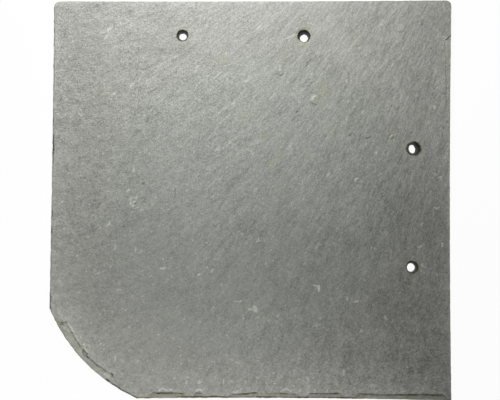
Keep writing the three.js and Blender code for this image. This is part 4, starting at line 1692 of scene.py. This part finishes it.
@dataclass(frozen=True)
class SoftLamp:
    """A square soft lamp with a grid, which keeps its light to a cone of so many degrees."""

    name: str
    place: tuple[float, float, float]
    aim: tuple[float, float, float]
    side: float
    spread: float
    power: float

    def hang(self) -> bpy.types.Object:
        """Hang the lamp, unseen by the camera.

        Returns:
            The lamp.
        """
        light = bpy.data.lights.new(self.name, "AREA")
        light.shape = "SQUARE"
        light.size = self.side * MM
        light.spread = math.radians(self.spread)
        light.energy = self.power
        lamp = bpy.data.objects.new(self.name, light)
        lamp.location = Vector(self.place) * MM
        lamp.rotation_euler = (Vector(self.aim) * MM - lamp.location).to_track_quat("-Z", "Y").to_euler()
        lamp.visible_camera = False
        bpy.context.scene.collection.objects.link(lamp)
        return lamp


@dataclass(frozen=True)
class Studio:
    """A pale floor under soft lamps, with a camera that looks almost straight down."""

    lamps: Sequence[SoftLamp] = (
        SoftLamp("key_lamp", (-54, 230, 220), (-5, 110, 0), 170, 80, 0.375),
        SoftLamp("low_lamp", (-20, -200, 200), (-110, -110, 0), 220, 80, 0.165),
    )
    fill: float = 0.03
    floor_side: float = 6000
    floor_grey: Colour = (0.8, 0.8, 0.8)
    shade_share: float = 0.035
    camera_place: tuple[float, float, float] = (14.32, -25.32, 540.91)
    camera_tilt: tuple[float, float, float] = (2.61, 1.53, 0.24)
    focal_length: float = 77.76
    sensor_width: float = 36
    clip: tuple[float, float] = (0.01, 20)

    def build(self) -> None:
        """Set up everything round the slate."""
        scene = bpy.context.scene
        scene.view_settings.view_transform = "Standard"
        for lamp in self.lamps:
            lamp.hang()
        self.light_world()
        self.lay_floor()
        self.set_camera()
        LOG.info("studio: %d lamps", len(self.lamps))

    def seen(self, wiring: Wiring) -> Socket:
        """Tell the rays that carry a sight of the background.

        Args:
            wiring: the tree to wire it in.

        Returns:
            1 for such a ray, else 0.
        """
        path = wiring.add("ShaderNodeLightPath").outputs
        either = wiring.math("MAXIMUM", path["Is Camera Ray"], path["Is Glossy Ray"])
        return wiring.math("MAXIMUM", either, path["Is Transmission Ray"])

    def light_world(self) -> None:
        """Make the world a low, even fill that looks white."""
        world = bpy.data.worlds.new("studio_world")
        world.use_nodes = True
        bpy.context.scene.world = world
        wiring = Wiring(world.node_tree)
        strength = wiring.ramp(self.seen(wiring), Ramp(0, 1, self.fill, 1))
        background = wiring.add("ShaderNodeBackground", {"Color": (1, 1, 1, 1), "Strength": strength})
        wiring.add("ShaderNodeOutputWorld", {"Surface": background.outputs[0]})

    def lay_floor(self) -> None:
        """Lay the floor, which looks white and keeps a faint shadow."""
        half = self.floor_side / 2 * MM
        mesh = bpy.data.meshes.new("studio_floor")
        corners = [(-half, -half, 0), (half, -half, 0), (half, half, 0), (-half, half, 0)]
        mesh.from_pydata(corners, [], [(0, 1, 2, 3)])
        material = bpy.data.materials.new("floor_white")
        material.use_nodes = True
        wiring = Wiring(material.node_tree)
        plain = wiring.add("ShaderNodeBsdfDiffuse", {"Color": (*self.floor_grey, 1)}).outputs[0]
        glow = wiring.add("ShaderNodeEmission", {"Color": (1, 1, 1, 1), "Strength": 1}).outputs[0]
        share = wiring.math("MULTIPLY", self.seen(wiring), 1 - self.shade_share)
        mixed = wiring.add("ShaderNodeMixShader", {0: share, 1: plain, 2: glow}).outputs[0]
        wiring.add("ShaderNodeOutputMaterial", {"Surface": mixed})
        mesh.materials.append(material)
        floor = bpy.data.objects.new("studio_floor", mesh)
        bpy.context.scene.collection.objects.link(floor)

    def set_camera(self) -> None:
        """Set the camera over the slate."""
        camera = bpy.data.cameras.new("camera")
        camera.sensor_fit = "HORIZONTAL"
        camera.sensor_width = self.sensor_width
        camera.lens = self.focal_length
        camera.clip_start, camera.clip_end = self.clip
        holder = bpy.data.objects.new("camera", camera)
        holder.location = Vector(self.camera_place) * MM
        holder.rotation_mode = "ZYX"
        holder.rotation_euler = [math.radians(angle) for angle in self.camera_tilt]
        bpy.context.scene.collection.objects.link(holder)
        bpy.context.scene.camera = holder


# ---- The whole scene ------------------------------------------------------------------------------


def main() -> None:
    """Build the studio and the slate."""
    logging.basicConfig(level=logging.INFO, format="%(name)s: %(message)s")
    Studio().build()
    grain = Grain()
    low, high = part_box(NODE)
    relief = RivenRelief(thickness=round((high - low).z / MM, 3))
    half = (high - low).x / 2 / MM
    placed = flecks() + chips() + pits() + lips() + scratches() + stains() + soot_and_shade() + worn()
    marks = placed + Scatter().marks(half, grain)
    SlateBody(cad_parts[NODE], grain, relief, marks).build(SlateStone(grain).build())


if __name__ == "__main__":
    main()
